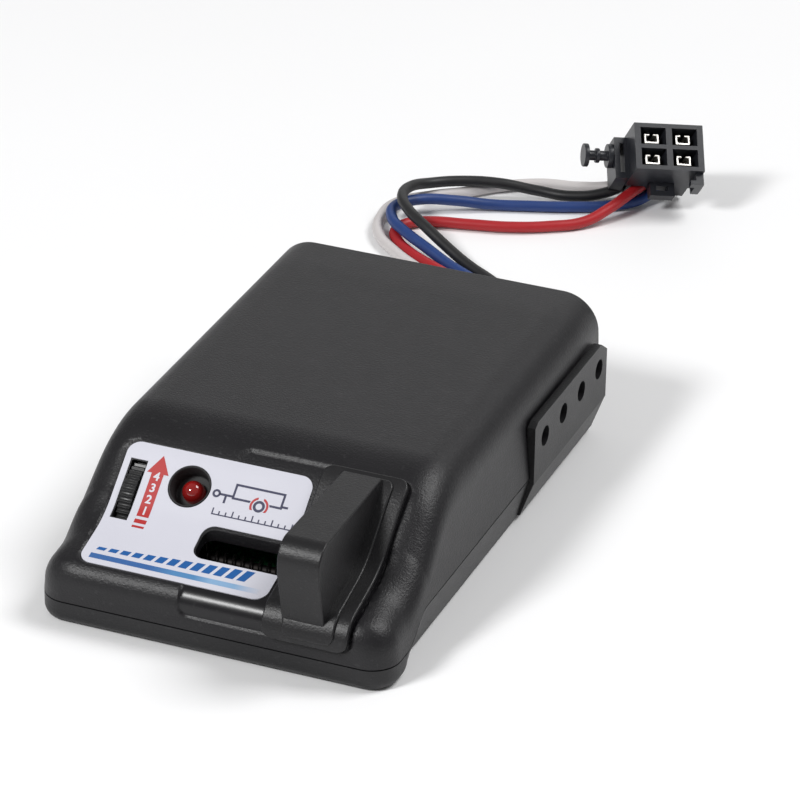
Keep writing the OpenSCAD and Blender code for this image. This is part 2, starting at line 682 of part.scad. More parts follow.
module plug_housing() {
    w = plug_w / 2;
    h = plug_h / 2;
    color("#26272b") at_plug() {
        difference() {
            union() {
                block([-w, 0, -h], [w, 12, h]);
                block([-w + 1, 11, -h + 0.6], [w - 1, plug_l, h - 0.6]);
                // side latch with its slot
                block([-w - 3.4, 8, -h + 0.4], [-w + eps, 16.5, h - 1]);
                // lock loop under the body
                block([-3.2, 9, -h - 3.6], [3.2, 12, -h + eps]);
                // hooked rib at the corner
                block([w - 2, 1.5, -h - 3.2], [w, 8, -h + eps]);
                block([w - 3.4, 1.5, -h - 3.2], [w, 3.6, -h - 2]);
            }
            for (i = [-1, 1], j = [-1, 1])
                block([i * cavity_x - cavity_w / 2, -1, j * cavity_z - cavity_h / 2],
                [i * cavity_x + cavity_w / 2, 15, j * cavity_z + cavity_h / 2]);
            block([-1.6, 8, -h - 2.2], [1.6, 13, -h - 0.9]);
            block([-w - 2, 7, -h + 2], [-w - 0.8, 17, h - 2.6]);
        }
    }
}

module plug_terminals() {
    color("#cfcac0") at_plug() for (i = [-1, 1], j = [-1, 1])
    translate([i * cavity_x, 0, j * cavity_z]) difference() {
        block([-1.9, 2, -1.3], [1.9, 13.8, 1.3]);
        block([-1.4, 1, -0.8], [1.4, 12, 0.8]);
        block([-0.5, 1, 0.5], [0.5, 6, 2]);
    }
}

module plug_clip() {
    w = plug_w / 2;
    color("#1f2023") at_plug() translate([-w - 3.4, 11, 1.2]) rotate([0, -90, 0]) {
        cylinder(r = 3.1, h = 1.4);
        cylinder(r = 1.3, h = 7.6);
        translate([0, 0, 3.4]) cylinder(r = 1.9, h = 1);
        translate([0, 0, 6.4]) cylinder(r = 3, h = 1.2);
    }
}

upper_case();
lower_case();
panel_label();
slide_lever();
lever_carriage();
carriage_screw();
guide_rod();
return_spring();
slide_control();
slide_wiper();
gain_wheel();
gain_spindle();
gain_control();
status_lamp();
circuit_board();
board_screws();
case_screws();
heat_sink();
power_transistors();
transistor_screws();
capacitors();
control_chips();
resistors();
flyback_diode();
wire_grommet();
wire_tails();
wire_white();
wire_red();
wire_blue();
wire_black();
plug_housing();
plug_terminals();
plug_clip();
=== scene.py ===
import math
import bpy
from mathutils import Matrix, Vector


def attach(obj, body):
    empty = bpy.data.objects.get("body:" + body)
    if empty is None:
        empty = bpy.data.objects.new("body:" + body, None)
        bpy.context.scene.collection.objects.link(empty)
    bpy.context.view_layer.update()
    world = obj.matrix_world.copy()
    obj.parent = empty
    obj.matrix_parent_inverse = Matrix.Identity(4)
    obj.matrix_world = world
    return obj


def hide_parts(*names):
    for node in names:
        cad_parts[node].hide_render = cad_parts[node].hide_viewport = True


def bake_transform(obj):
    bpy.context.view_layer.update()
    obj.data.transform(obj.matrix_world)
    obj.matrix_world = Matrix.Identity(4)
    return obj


# Looks of a trailer brake controller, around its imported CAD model.
# Sizes are in millimetres, and y runs back from the nose, until a mesh is placed.

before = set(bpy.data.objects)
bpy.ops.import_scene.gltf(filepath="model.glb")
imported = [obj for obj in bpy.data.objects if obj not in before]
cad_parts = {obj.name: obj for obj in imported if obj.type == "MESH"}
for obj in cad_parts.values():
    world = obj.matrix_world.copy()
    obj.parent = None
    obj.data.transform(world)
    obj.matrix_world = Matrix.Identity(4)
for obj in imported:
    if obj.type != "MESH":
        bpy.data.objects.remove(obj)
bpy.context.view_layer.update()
mm = 0.001
nose = -65.0
print("frame loaded")


# camera, floor and light

studio = {"lens": 204.3, "place": (0.3461, -0.8207, 0.5040), "turn": (62.022, -0.831, 22.297),
          "floor": 8.0, "floorTint": (0.9, 0.9, 0.905), "air": (1.0, 1.0, 1.0), "airPower": 0.26}

bpy.ops.object.camera_add(location=studio["place"], rotation=[math.radians(a) for a in studio["turn"]])
camera = bpy.context.object
camera.name = "camera"
camera.data.lens = studio["lens"]
camera.data.sensor_width = 36
camera.data.clip_start = 0.01
bpy.context.scene.camera = camera
bpy.context.scene.view_settings.view_transform = "Standard"

world = bpy.data.worlds.new("studioAir")
bpy.context.scene.world = world
world.use_nodes = True
air = world.node_tree.nodes["Background"]
air.inputs["Color"].default_value = (*studio["air"], 1)
air.inputs["Strength"].default_value = studio["airPower"]


def softLight(name, place, aim, size, power):
    away = Vector(aim) - Vector(place)
    bpy.ops.object.light_add(type="AREA", location=place, rotation=away.to_track_quat("-Z", "Y").to_euler())
    light = bpy.context.object
    light.name = name
    light.data.shape = "RECTANGLE"
    light.data.size, light.data.size_y = size
    light.data.energy = power


softLight("keyLight", (-0.55, -1.0, 1.05), (0, 0, 0.01), (0.36, 0.3), 16)
softLight("backLight", (-0.35, 1.6, 0.75), (0, 0.1, 0.02), (1.8, 0.7), 3.2)
softLight("topLight", (0.9, 0.5, 1.5), (0, 0, 0.02), (0.8, 0.8), 19)
print("camera and light placed")


# shader maths

class Value:
    def __init__(self, shader, socket):
        self.shader, self.socket = shader, socket

    def maths(self, operation, first, second=0.0):
        return self.shader.node("ShaderNodeMath", {"operation": operation}, {0: first, 1: second})

    def __add__(self, other):
        return self.maths("ADD", self, other)

    __radd__ = __add__

    def __sub__(self, other):
        return self.maths("SUBTRACT", self, other)

    def __rsub__(self, other):
        return self.maths("SUBTRACT", other, self)

    def __mul__(self, other):
        return self.maths("MULTIPLY", self, other)

    __rmul__ = __mul__

    def __pow__(self, other):
        return self.maths("POWER", self, other)

    def __gt__(self, other):
        return self.maths("GREATER_THAN", self, other)


class Shader:
    def __init__(self, name, **fixed):
        self.material = bpy.data.materials.new(name)
        self.material.use_nodes = True
        self.tree = self.material.node_tree
        self.surface = self.tree.nodes["Principled BSDF"]
        for socket, value in fixed.items():
            self.surface.inputs[socket.replace("_", " ")].default_value = value
        self.place = self.node("ShaderNodeTexCoord", {}, {}, "Object")

    def node(self, kind, settings, values, output=0):
        made = self.tree.nodes.new(kind)
        for key, value in settings.items():
            if key == "stops":
                ramp = made.color_ramp
                while len(ramp.elements) < len(value):
                    ramp.elements.new(0.5)
                for element, (spot, tint) in zip(ramp.elements, value):
                    element.position, element.color = spot, (*tint, 1)
            else:
                setattr(made, key, value)
        for key, value in values.items():
            if isinstance(value, Value):
                self.tree.links.new(value.socket, made.inputs[key])
            else:
                made.inputs[key].default_value = value
        return Value(self, made.outputs[output])

    def feed(self, **values):
        for socket, value in values.items():
            self.tree.links.new(value.socket, self.surface.inputs[socket.replace("_", " ")])
        return self

    def noise(self, size, detail=2.0, rough=0.5, place=None):
        return self.node("ShaderNodeTexNoise", {}, {"Vector": place or self.place, "Scale": 1 / (size * mm),
                                                    "Detail": detail, "Roughness": rough}, "Fac")

    def axis(self, name):
        return self.node("ShaderNodeSeparateXYZ", {}, {"Vector": self.place}, name)

    def stretched(self, scale):
        return self.node("ShaderNodeMapping", {}, {"Vector": self.place, "Scale": scale})

    def cells(self, size):
        return self.node("ShaderNodeTexVoronoi", {"feature": "F1"},
                         {"Vector": self.place, "Scale": 1 / (size * mm)}, "Distance")

    def ramp(self, value, stops):
        return self.node("ShaderNodeValToRGB", {"stops": stops}, {"Fac": value}, "Color")

    def mix(self, share, first, second):
        tone = lambda c: c if isinstance(c, Value) else (*c, 1)
        return self.node("ShaderNodeMix", {"data_type": "RGBA"},
                         {0: share, 6: tone(first), 7: tone(second)}, 2)

    def bump(self, height, depth):
        return self.node("ShaderNodeBump", {}, {"Height": height, "Distance": depth * mm, "Strength": 1.0},
                         "Normal")


def moulded(name, dark, light, grain, depth, rough, polished=None):
    spread, dust, slickRough = 0.08, 0.02, 0.29
    s = Shader(name, Specular_IOR_Level=0.42)
    cloudy = s.noise(14, 3, 0.55)
    spark = s.noise(grain, 2, 0.65)
    pits = s.cells(grain * 1.7)
    tint = s.mix(cloudy, dark, light)
    specks = s.noise(grain * 3.1, 1, 0.4) > 0.69
    tint = s.mix(specks * dust, tint, (0.35, 0.35, 0.36))
    worn = rough - spread / 2 + spread * s.noise(5, 4, 0.6)
    height = spark + pits * 0.4
    if polished:  # a smooth stretch, given by its sides, its back and its foot
        left, right, back, foot = [p * mm for p in polished]
        x, y, z = [s.axis(name) for name in "XYZ"]
        slick = (x > left) * (1 - (x > right)) * (1 - (y > back)) * (z > foot)
        worn = worn - slick * (rough - slickRough)
        height = height * (1 - slick * 0.92)
    s.feed(Base_Color=tint, Roughness=worn, Normal=s.bump(height, depth))
    return s.material


def metal(name, tint, rough, brushed=(1, 1, 12), depth=0.006, tarnish=(0.35, 0.3, 0.24), amount=0.3):
    s = Shader(name, Metallic=1.0)
    lines = s.noise(0.5, 3, 0.6, s.stretched(brushed))
    stain = s.noise(3.5, 4, 0.6) ** 2.0
    s.feed(Base_Color=s.mix(stain * amount, tint, tarnish), Roughness=rough + 0.18 * stain + 0.08 * lines,
           Normal=s.bump(lines, depth))
    return s.material


def ink(name, tint):
    s = Shader(name, Specular_IOR_Level=0.5)
    dots = s.noise(0.18, 2, 0.6)
    s.feed(Base_Color=s.mix(dots * 0.16, tint, [min(1, c * 1.25 + 0.03) for c in tint]),
           Roughness=0.32 + 0.1 * s.noise(4, 3), Normal=s.bump(s.noise(0.6, 2), 0.002))
    return s.material


def insulation(name, tint, deep):
    s = Shader(name, Specular_IOR_Level=0.45)
    scuff = s.noise(2.2, 4, 0.65) ** 3.0
    s.feed(Base_Color=s.mix(s.noise(7, 3), deep, tint), Roughness=0.42 + 0.35 * scuff,
           Normal=s.bump(s.noise(0.5, 3, 0.6) + s.noise(3, 2) * 0.6, 0.02))
    return s.material


print("shader helpers ready")

finish = {
    "caseBlack": moulded("caseBlack", (0.0048, 0.0044, 0.0056), (0.0082, 0.0076, 0.0094), 0.38, 0.075, 0.42,
                          polished=(-7.2, 32.7, -60.4, 9.3)),
    "trayBlack": moulded("trayBlack", (0.0065, 0.0064, 0.0072), (0.0102, 0.01, 0.0114), 0.36, 0.06, 0.42),
    "leverBlack": moulded("leverBlack", (0.006, 0.0057, 0.0065), (0.0098, 0.0094, 0.0106), 0.36, 0.055, 0.4),
    "wheelBlack": moulded("wheelBlack", (0.011, 0.011, 0.012), (0.022, 0.022, 0.023), 0.2, 0.01, 0.36),
    "plugBlack": moulded("plugBlack", (0.0135, 0.0145, 0.0185), (0.02, 0.0215, 0.027), 0.5, 0.01, 0.36),
    "rubber": moulded("rubber", (0.012, 0.012, 0.0125), (0.02, 0.02, 0.021), 0.4, 0.02, 0.62),
    "acetal": moulded("acetal", (0.6, 0.57, 0.48), (0.7, 0.67, 0.6), 0.8, 0.006, 0.35),
    "spindleWhite": moulded("spindleWhite", (0.68, 0.65, 0.57), (0.78, 0.76, 0.7), 0.8, 0.006, 0.38),
    "packageBlack": moulded("packageBlack", (0.018, 0.018, 0.019), (0.03, 0.03, 0.032), 0.12, 0.012, 0.5),
    "wiperBrown": moulded("wiperBrown", (0.07, 0.045, 0.03), (0.11, 0.075, 0.05), 0.2, 0.01, 0.55),
    "controlBlue": moulded("controlBlue", (0.02, 0.06, 0.2), (0.03, 0.085, 0.26), 0.6, 0.006, 0.35),
    "tin": metal("tin", (0.72, 0.7, 0.66), 0.24),
    "zinc": metal("zinc", (0.6, 0.6, 0.59), 0.3, (1, 12, 1)),
    "blackSteel": metal("blackSteel", (0.014, 0.014, 0.015), 0.46, (4, 4, 1), 0.008, (0.12, 0.08, 0.05), 0.2),
    "aluminium": metal("aluminium", (0.66, 0.67, 0.68), 0.34, (1, 1, 14), 0.01, (0.4, 0.41, 0.42), 0.35),
    "inkRed": ink("inkRed", (0.4, 0.022, 0.022)),
    "inkBlue": ink("inkBlue", (0.008, 0.09, 0.3)),
    "inkNavy": ink("inkNavy", (0.022, 0.024, 0.065)),
    "inkWhite": ink("inkWhite", (0.6, 0.6, 0.65)),
    "wireWhite": insulation("wireWhite", (0.62, 0.59, 0.585), (0.52, 0.49, 0.485)),
    "wireRed": insulation("wireRed", (0.42, 0.014, 0.019), (0.33, 0.01, 0.014)),
    "wireBlue": insulation("wireBlue", (0.016, 0.05, 0.2), (0.011, 0.037, 0.15)),
    "wireBlack": insulation("wireBlack", (0.016, 0.016, 0.017), (0.011, 0.011, 0.012)),
}


def lampLens():
    s = Shader("lampLens", Roughness=0.07, IOR=1.5, Specular_IOR_Level=0.6)
    depth = s.noise(2.4, 2)
    s.surface.inputs["Coat Weight"].default_value = 0.6
    s.surface.inputs["Emission Strength"].default_value = 0.03
    s.feed(Base_Color=s.mix(depth, (0.17, 0.004, 0.004), (0.28, 0.008, 0.007)),
           Emission_Color=s.mix(depth, (0.5, 0.01, 0.01), (0.75, 0.02, 0.015)),
           Normal=s.bump(s.noise(1.6, 2), 0.01))
    return s.material


fadingBar = {"left": -30.6, "right": 9, "foot": 4.9, "high": 1.45}


def gradientBar(left, right):
    s = Shader("gradientBar", Specular_IOR_Level=0.5)
    share = (s.axis("X") - left * mm) * (1 / ((right - left) * mm))
    blue, mid, pale, faint = (0.008, 0.09, 0.3), (0.05, 0.2, 0.42), (0.2, 0.36, 0.56), (0.42, 0.49, 0.62)
    steps = s.ramp(share, [(0.0, blue), (0.36, blue), (0.5, mid), (0.62, mid), (0.72, pale), (0.86, pale),
                           (0.94, faint), (1.0, (0.56, 0.58, 0.66))])
    s.feed(Base_Color=s.mix(s.noise(0.18, 2) * 0.12, steps, (0.52, 0.54, 0.6)),
           Roughness=0.3 + 0.1 * s.noise(4, 3), Normal=s.bump(s.noise(0.6, 2), 0.002))
    return s.material


def boardGreen():
    s = Shader("boardGreen", Roughness=0.35)
    weave = s.node("ShaderNodeTexWave", {"bands_direction": "X"}, {"Vector": s.place, "Scale": 900.0}, "Fac")
    weft = s.node("ShaderNodeTexWave", {"bands_direction": "Y"}, {"Vector": s.place, "Scale": 900.0}, "Fac")
    tracks = s.node("ShaderNodeTexBrick", {"offset": 0.37},
                    {"Vector": s.place, "Scale": 90.0, "Mortar Size": 0.03, "Mortar Smooth": 0.1}, "Fac")
    base = s.mix(s.noise(9, 3), (0.012, 0.13, 0.045), (0.018, 0.17, 0.06))
    s.feed(Base_Color=s.mix(tracks, base, (0.03, 0.25, 0.09)), Roughness=0.3 + 0.12 * weave * weft,
           Normal=s.bump(weave + weft + tracks * 3.0, 0.01))
    return s.material


def canSleeve():
    s = Shader("canSleeve", Roughness=0.3)
    facing = s.node("ShaderNodeNewGeometry", {}, {}, "Normal")
    top = s.node("ShaderNodeSeparateXYZ", {}, {"Vector": facing}, "Z") > 0.8
    sleeve = s.mix(s.noise(6, 3), (0.012, 0.02, 0.09), (0.018, 0.03, 0.13))
    s.feed(Base_Color=s.mix(top, sleeve, (0.62, 0.62, 0.62)), Metallic=top * 0.95,
           Roughness=0.28 + 0.15 * s.noise(2, 3), Normal=s.bump(s.noise(0.5, 3), 0.006))
    return s.material


def resistorTan():
    s = Shader("resistorTan", Roughness=0.4)
    wave = s.node("ShaderNodeTexWave", {"bands_direction": "X"}, {"Vector": s.place, "Scale": 260.0}, "Fac")
    s.feed(Base_Color=s.mix((wave > 0.86) * (s.noise(3, 1) > 0.5), (0.55, 0.42, 0.24), (0.2, 0.05, 0.02)),
           Roughness=0.35 + 0.15 * s.noise(1, 3), Normal=s.bump(s.noise(0.4, 2), 0.01))
    return s.material


def transistorBody():
    tabFront, legTop = 49.7, 9.9
    s = Shader("transistorBody", Roughness=0.4)
    bare = 1 - (1 - (s.axis("Y") > tabFront * mm)) * (s.axis("Z") > legTop * mm)
    s.feed(Base_Color=s.mix(bare, (0.02, 0.02, 0.021), (0.62, 0.61, 0.58)), Metallic=bare,
           Roughness=0.32 + 0.15 * s.noise(0.6, 3), Normal=s.bump(s.noise(0.15, 3), 0.01))
    return s.material


def chipBody():
    pinTop = 9.2
    s = Shader("chipBody", Roughness=0.45)
    pin = 1 - (s.axis("Z") > pinTop * mm)
    s.feed(Base_Color=s.mix(pin, (0.02, 0.02, 0.021), (0.6, 0.59, 0.56)), Metallic=pin * 0.95,
           Roughness=0.35 + 0.2 * s.noise(0.4, 3), Normal=s.bump(s.noise(0.12, 3) + s.axis("Y") * 2.0, 0.01))
    return s.material


def labelFilm():
    s = Shader("labelFilm", Specular_IOR_Level=0.5)
    tone = s.mix(s.noise(18, 2), (0.56, 0.56, 0.625), (0.61, 0.61, 0.672))
    s.feed(Base_Color=s.mix(s.noise(0.12, 2) * 0.1, tone, (0.5, 0.5, 0.56)),
           Roughness=0.27 + 0.1 * s.noise(6, 3),
           Normal=s.bump(s.noise(0.5, 2, 0.5) + s.noise(4, 2) * 3.0, 0.0025))
    return s.material


finish.update(lampRed=lampLens(), gradientBar=gradientBar(fadingBar["left"], fadingBar["right"]),
              boardGreen=boardGreen(), canSleeve=canSleeve(), resistorTan=resistorTan(),
              transistorBody=transistorBody(), chipBody=chipBody(), labelFilm=labelFilm())

paper = Shader("floorPaper", Roughness=0.75, Specular_IOR_Level=0.2)
paper.feed(Base_Color=paper.mix(paper.noise(120, 2), studio["floorTint"], (0.87, 0.87, 0.875)),
           Normal=paper.bump(paper.noise(1.2, 3), 0.01))
bpy.ops.mesh.primitive_plane_add(size=studio["floor"], location=(0, 0, -0.0001))
floor = bpy.context.object
floor.name = "floor"
floor.data.materials.append(paper.material)
print("materials made:", len(finish))


# ways of working on a mesh

def solo(obj):
    bpy.ops.object.select_all(action="DESELECT")
    obj.select_set(True)
    bpy.context.view_layer.objects.active = obj
    return obj


def settle(obj):
    solo(obj)
    bpy.ops.object.transform_apply(location=True, rotation=True, scale=True)
    return obj


def modify(obj, kind, **settings):
    solo(obj)
    modifier = obj.modifiers.new(kind.lower(), kind)
    for key, value in settings.items():
        setattr(modifier, key, value)
    bpy.ops.object.modifier_apply(modifier=modifier.name)
    return obj


def pick(obj, kind, test):
    # selects the vertices, edges or faces that pass the test and stays in edit mode
    solo(obj)
    bpy.ops.object.mode_set(mode="EDIT")
    bpy.ops.mesh.select_mode(type=kind)
    bpy.ops.mesh.select_all(action="DESELECT")
    bpy.ops.object.mode_set(mode="OBJECT")
    mesh = obj.data
    for item in {"VERT": mesh.vertices, "EDGE": mesh.edges, "FACE": mesh.polygons}[kind]:
        item.select = test(item)
    bpy.ops.object.mode_set(mode="EDIT")
    return obj


def done(obj):
    bpy.ops.object.mode_set(mode="OBJECT")
    return obj


def outward(obj):
    # turns every face of the mesh in edit mode outwards
    bpy.ops.mesh.select_all(action="SELECT")
    bpy.ops.mesh.normals_make_consistent(inside=False)
    return done(obj)


def ends(obj, edge):
    return [obj.data.vertices[i].co / mm for i in edge.vertices]


def roundEdges(obj, test, radius, segments):
    pick(obj, "EDGE", lambda e: test(*ends(obj, e)))
    bpy.ops.mesh.bevel(offset=radius * mm, offset_type="OFFSET", segments=segments, affect="EDGES")
    return done(obj)


def block(name, low, high):
    size = [(b - a) * mm for a, b in zip(low, high)]
    bpy.ops.mesh.primitive_cube_add(size=1, location=[(a + b) / 2 * mm for a, b in zip(low, high)])
    obj = bpy.context.object
    obj.name, obj.scale = name, size
    return settle(obj)


def rod(name, centre, radius, length, turn=(0, 0, 0), sides=64):
    bpy.ops.mesh.primitive_cylinder_add(vertices=sides, radius=radius * mm, depth=length * mm,
                                        location=[c * mm for c in centre],
                                        rotation=[math.radians(a) for a in turn])
    bpy.context.object.name = name
    return settle(bpy.context.object)


def joined(name, parts):
    bpy.ops.object.select_all(action="DESELECT")
    for part in parts:
        part.select_set(True)
    bpy.context.view_layer.objects.active = parts[0]
    if len(parts) > 1:
        bpy.ops.object.join()
    parts[0].name = name
    return parts[0]


def cut(obj, cutter):
    modify(obj, "BOOLEAN", object=cutter, operation="DIFFERENCE", solver="MANIFOLD")
    bpy.data.objects.remove(cutter)
    return obj


def prism(name, outline, axis, start, end):
    # an outline in y and z drawn out along x, or in x and z along y
    place = (lambda a, b: (start, a, b)) if axis == "X" else (lambda a, b: (a, start, b))
    bpy.ops.mesh.primitive_circle_add(vertices=len(outline), radius=mm, fill_type="NGON")
    obj = bpy.context.object
    obj.name = name
    for vertex, point in zip(obj.data.vertices, outline):
        vertex.co = [c * mm for c in place(*point)]
    bpy.ops.object.mode_set(mode="EDIT")
    bpy.ops.mesh.select_all(action="SELECT")
    shift = ((end - start) * mm, 0, 0) if axis == "X" else (0, (end - start) * mm, 0)
    bpy.ops.mesh.extrude_region_move(TRANSFORM_OT_translate={"value": shift})
    return outward(obj)


def upright(a, b):
    return abs(a.x - b.x) < 0.001 and abs(a.y - b.y) < 0.001


def smooth(obj, angle=32):
    solo(obj)
    bpy.ops.object.shade_smooth_by_angle(angle=math.radians(angle))
    return obj


def hand(obj, name, look, slot, body="root", *nodes):
    # names a finished piece, gives it its look, hangs it on its body and hides the imported nodes it stands for
    obj.name = name
    obj.data.name = name
    obj.data.materials.clear()
    obj.data.materials.append(finish[look])
    if body:
        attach(obj, body)
    if nodes:
        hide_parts(*nodes)
    print("piece made:", name)
    return obj


def placed(obj):
    for vertex in obj.data.vertices:
        vertex.co.y += nose * mm
    return obj


def fromFrame(node, name, look, slot, width=0.25, body="root", sharp=35, segments=3):
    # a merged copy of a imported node, with its edges broken
    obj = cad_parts[node].copy()
    obj.data = obj.data.copy()
    obj.parent = None
    for key in list(obj.keys()):
        del obj[key]
    bpy.context.scene.collection.objects.link(obj)
    obj.matrix_world = Matrix.Identity(4)
    solo(obj)
    bpy.ops.object.mode_set(mode="EDIT")
    bpy.ops.mesh.select_all(action="SELECT")
    bpy.ops.mesh.customdata_custom_splitnormals_clear()
    bpy.ops.mesh.remove_doubles(threshold=0.000002)
    bpy.ops.mesh.dissolve_limited(angle_limit=math.radians(0.6))
    bpy.ops.object.mode_set(mode="OBJECT")
    if width:
        modify(obj, "BEVEL", width=width * mm, segments=segments, limit_method="ANGLE",
               angle_limit=math.radians(sharp), use_clamp_overlap=True, harden_normals=False)
    smooth(obj, 40)
    modify(obj, "WEIGHTED_NORMAL", keep_sharp=True, weight=80)
    return hand(obj, name, look, slot, body, node)


# the panel's line, seen from the side

case = {"width": 83, "length": 130, "height": 34.6, "wall": 2.2, "edge": 9, "corner": 6.7, "lip": 5,
        "noseSlope": 14.5, "noseHeight": 14.1, "panelSlope": 40, "panelPoint": (25.6, 25.7), "dip": 20,
        "brow": 24, "seamLow": 5.3, "seamHigh": 11, "seamGap": 0.3, "seamRise": (10.8, 21.5),
        "draft": math.tan(math.radians(5)), "recess": 0.5, "backEdge": 0.5}


def panelRuns():
    low, high = math.radians(case["noseSlope"]), math.radians(case["panelSlope"])
    y, z = case["panelPoint"]
    lip = case["lip"]
    dipY = (case["noseHeight"] - z + y * math.tan(high)) / (math.tan(high) - math.tan(low))
    browY = y + (case["height"] - z) / math.tan(high)
    atDip, atBrow = case["dip"] * math.tan((high - low) / 2), case["brow"] * math.tan(high / 2)
    return [(lip * (math.pi / 2 - low), case["noseSlope"] - 90),
            ((dipY - lip + lip * math.sin(low)) / math.cos(low) - atDip, 0),
            (case["dip"] * (high - low), case["panelSlope"] - case["noseSlope"]),
            ((browY - dipY) / math.cos(high) - atDip - atBrow, 0),
            (case["brow"] * high, -case["panelSlope"]),
            (case["length"] - browY - atBrow, 0)]


runs = panelRuns()
lipHeight = case["noseHeight"] + case["lip"] * (math.tan(math.radians(case["noseSlope"]))
                                              - 1 / math.cos(math.radians(case["noseSlope"])))


def walk(s, raised=0.0):
    # y, z and slope at the distance s along the line from the top of the front face
    y, z, slope = 0.0, lipHeight + min(s, 0), math.pi / 2
    left = max(s, 0)
    for length, turn in runs:
        step = min(left, length)
        left -= step
        if turn:
            radius = length / math.radians(turn)
            y, z = y - radius * math.sin(slope), z + radius * math.cos(slope)
            slope += math.radians(turn) * step / length
            y, z = y + radius * math.sin(slope), z - radius * math.cos(slope)
        else:
            y, z = y + step * math.cos(slope), z + step * math.sin(slope)
        if left <= 0:
            break
    return y - raised * math.sin(slope), z + raised * math.cos(slope), slope


def along(y):
    low, high = 0.0, 160.0
    for _ in range(40):
        middle = (low + high) / 2
        low, high = (middle, high) if walk(middle)[0] < y else (low, middle)
    return low


def overPanel(obj, every=0.9):
    # a piece drawn flat, x across, y along the line and z out of it, is bent over the panel
    top = max(v.co.y for v in obj.data.vertices) / mm
    bottom = min(v.co.y for v in obj.data.vertices) / mm
    spots, start = [0.0], 0.0
    for length, turn in runs:
        count = max(1, round(length / every)) if turn else 1
        spots += [start + length * (i + 1) / count for i in range(count)]
        start += length
    solo(obj)
    for spot in spots:
        if bottom < spot < top:
            bpy.ops.object.mode_set(mode="EDIT")
            bpy.ops.mesh.select_all(action="SELECT")
            bpy.ops.mesh.bisect(plane_co=(0, spot * mm, 0), plane_no=(0, 1, 0))
            bpy.ops.object.mode_set(mode="OBJECT")
    for vertex in obj.data.vertices:
        y, z, slope = walk(vertex.co.y / mm, vertex.co.z / mm)
        vertex.co.y, vertex.co.z = (y + nose) * mm, z * mm
    obj.data.update()
    return obj


# upper half of the case

def ease(v):
    v = max(0.0, min(1.0, v))
    return v * v * (3 - 2 * v)


def seamAt(y):
    start, stop = case["seamRise"]
    return case["seamLow"] + (case["seamHigh"] - case["seamLow"]) * ease((y - start) / (stop - start))


def planAt(y):
    r = case["corner"]
    return case["width"] / 2 - (0 if y >= r else r - math.sqrt(max(0.0, r * r - (r - y) ** 2)))


def backRows(end, angles):
    # rows and their insets, round the back edge
    r = case["backEdge"]
    return [(end - r + r * math.sin(math.radians(a)), r - r * math.cos(math.radians(a))) for a in angles]


def inside(x, s, area, corner, soft=0.5):
    # 1 within a rounded rectangle, falling to 0 over its soft edge
    x0, x1, s0, s1 = area
    dx = abs(x - (x0 + x1) / 2) - (x1 - x0) / 2 + corner
    ds = abs(s - (s0 + s1) / 2) - (s1 - s0) / 2 + corner
    away = math.hypot(max(dx, 0), max(ds, 0)) + min(max(dx, ds), 0) - corner
    return 1 - ease(away / soft + 0.5)


upper = {"step": 0.42, "track": (-7.4, 32.9, 8.6 - lipHeight, along(34.5)), "trackCorner": 2.8,
         "label": (-33.0, 11.5, along(3.1), along(31.7)), "labelCorner": 3.2,
         "slot": (-9.3, 20.5, 11.7, 19.1), "slotCorner": 2.6, "window": (-31.0, -27.4), "windowLength": 14,
         "windowSlide": -3.9, "wheelAxis": (29.297, 15.226), "wheelRadius": 11, "wheelRoom": 0.6,
         "lamp": (-16, -0.4), "cup": 4.4, "cupRoom": 0.5, "rail": (82.7, 24.8), "railIn": 1.3, "railOut": 2,
         "railRoom": 0.6, "flat": 9.6, "noseRows": [-1.95, -1.68, -1.26, -0.84, -0.42], "noseNarrow": 0.012}


def upperSection(y, top, inset=0.0):
    # the points of one section, from the right seam over the top to the left seam
    bottom = min(seamAt(y) + case["seamGap"], top)
    top, side = top - inset, planAt(y) - inset
    r = max(0.0, min(case["edge"] - inset, (top - bottom) * 0.75))
    lean = case["draft"] * (top - r - bottom)
    half = [(side - lean * i / 5, bottom + (top - r - bottom) * i / 5) for i in range(5)]
    half += [(side - lean - r + r * math.cos(a), top - r + r * math.sin(a))
             for a in [math.radians(90 * i / 14) for i in range(14)]]
    flat = side - lean - r
    count = round((case["width"] / 2 - upper["flat"]) / upper["step"])
    half += [(flat * (1 - i / count), top) for i in range(count)]
    return half + [(0.0, top)] + [(-x, z) for x, z in reversed(half)]


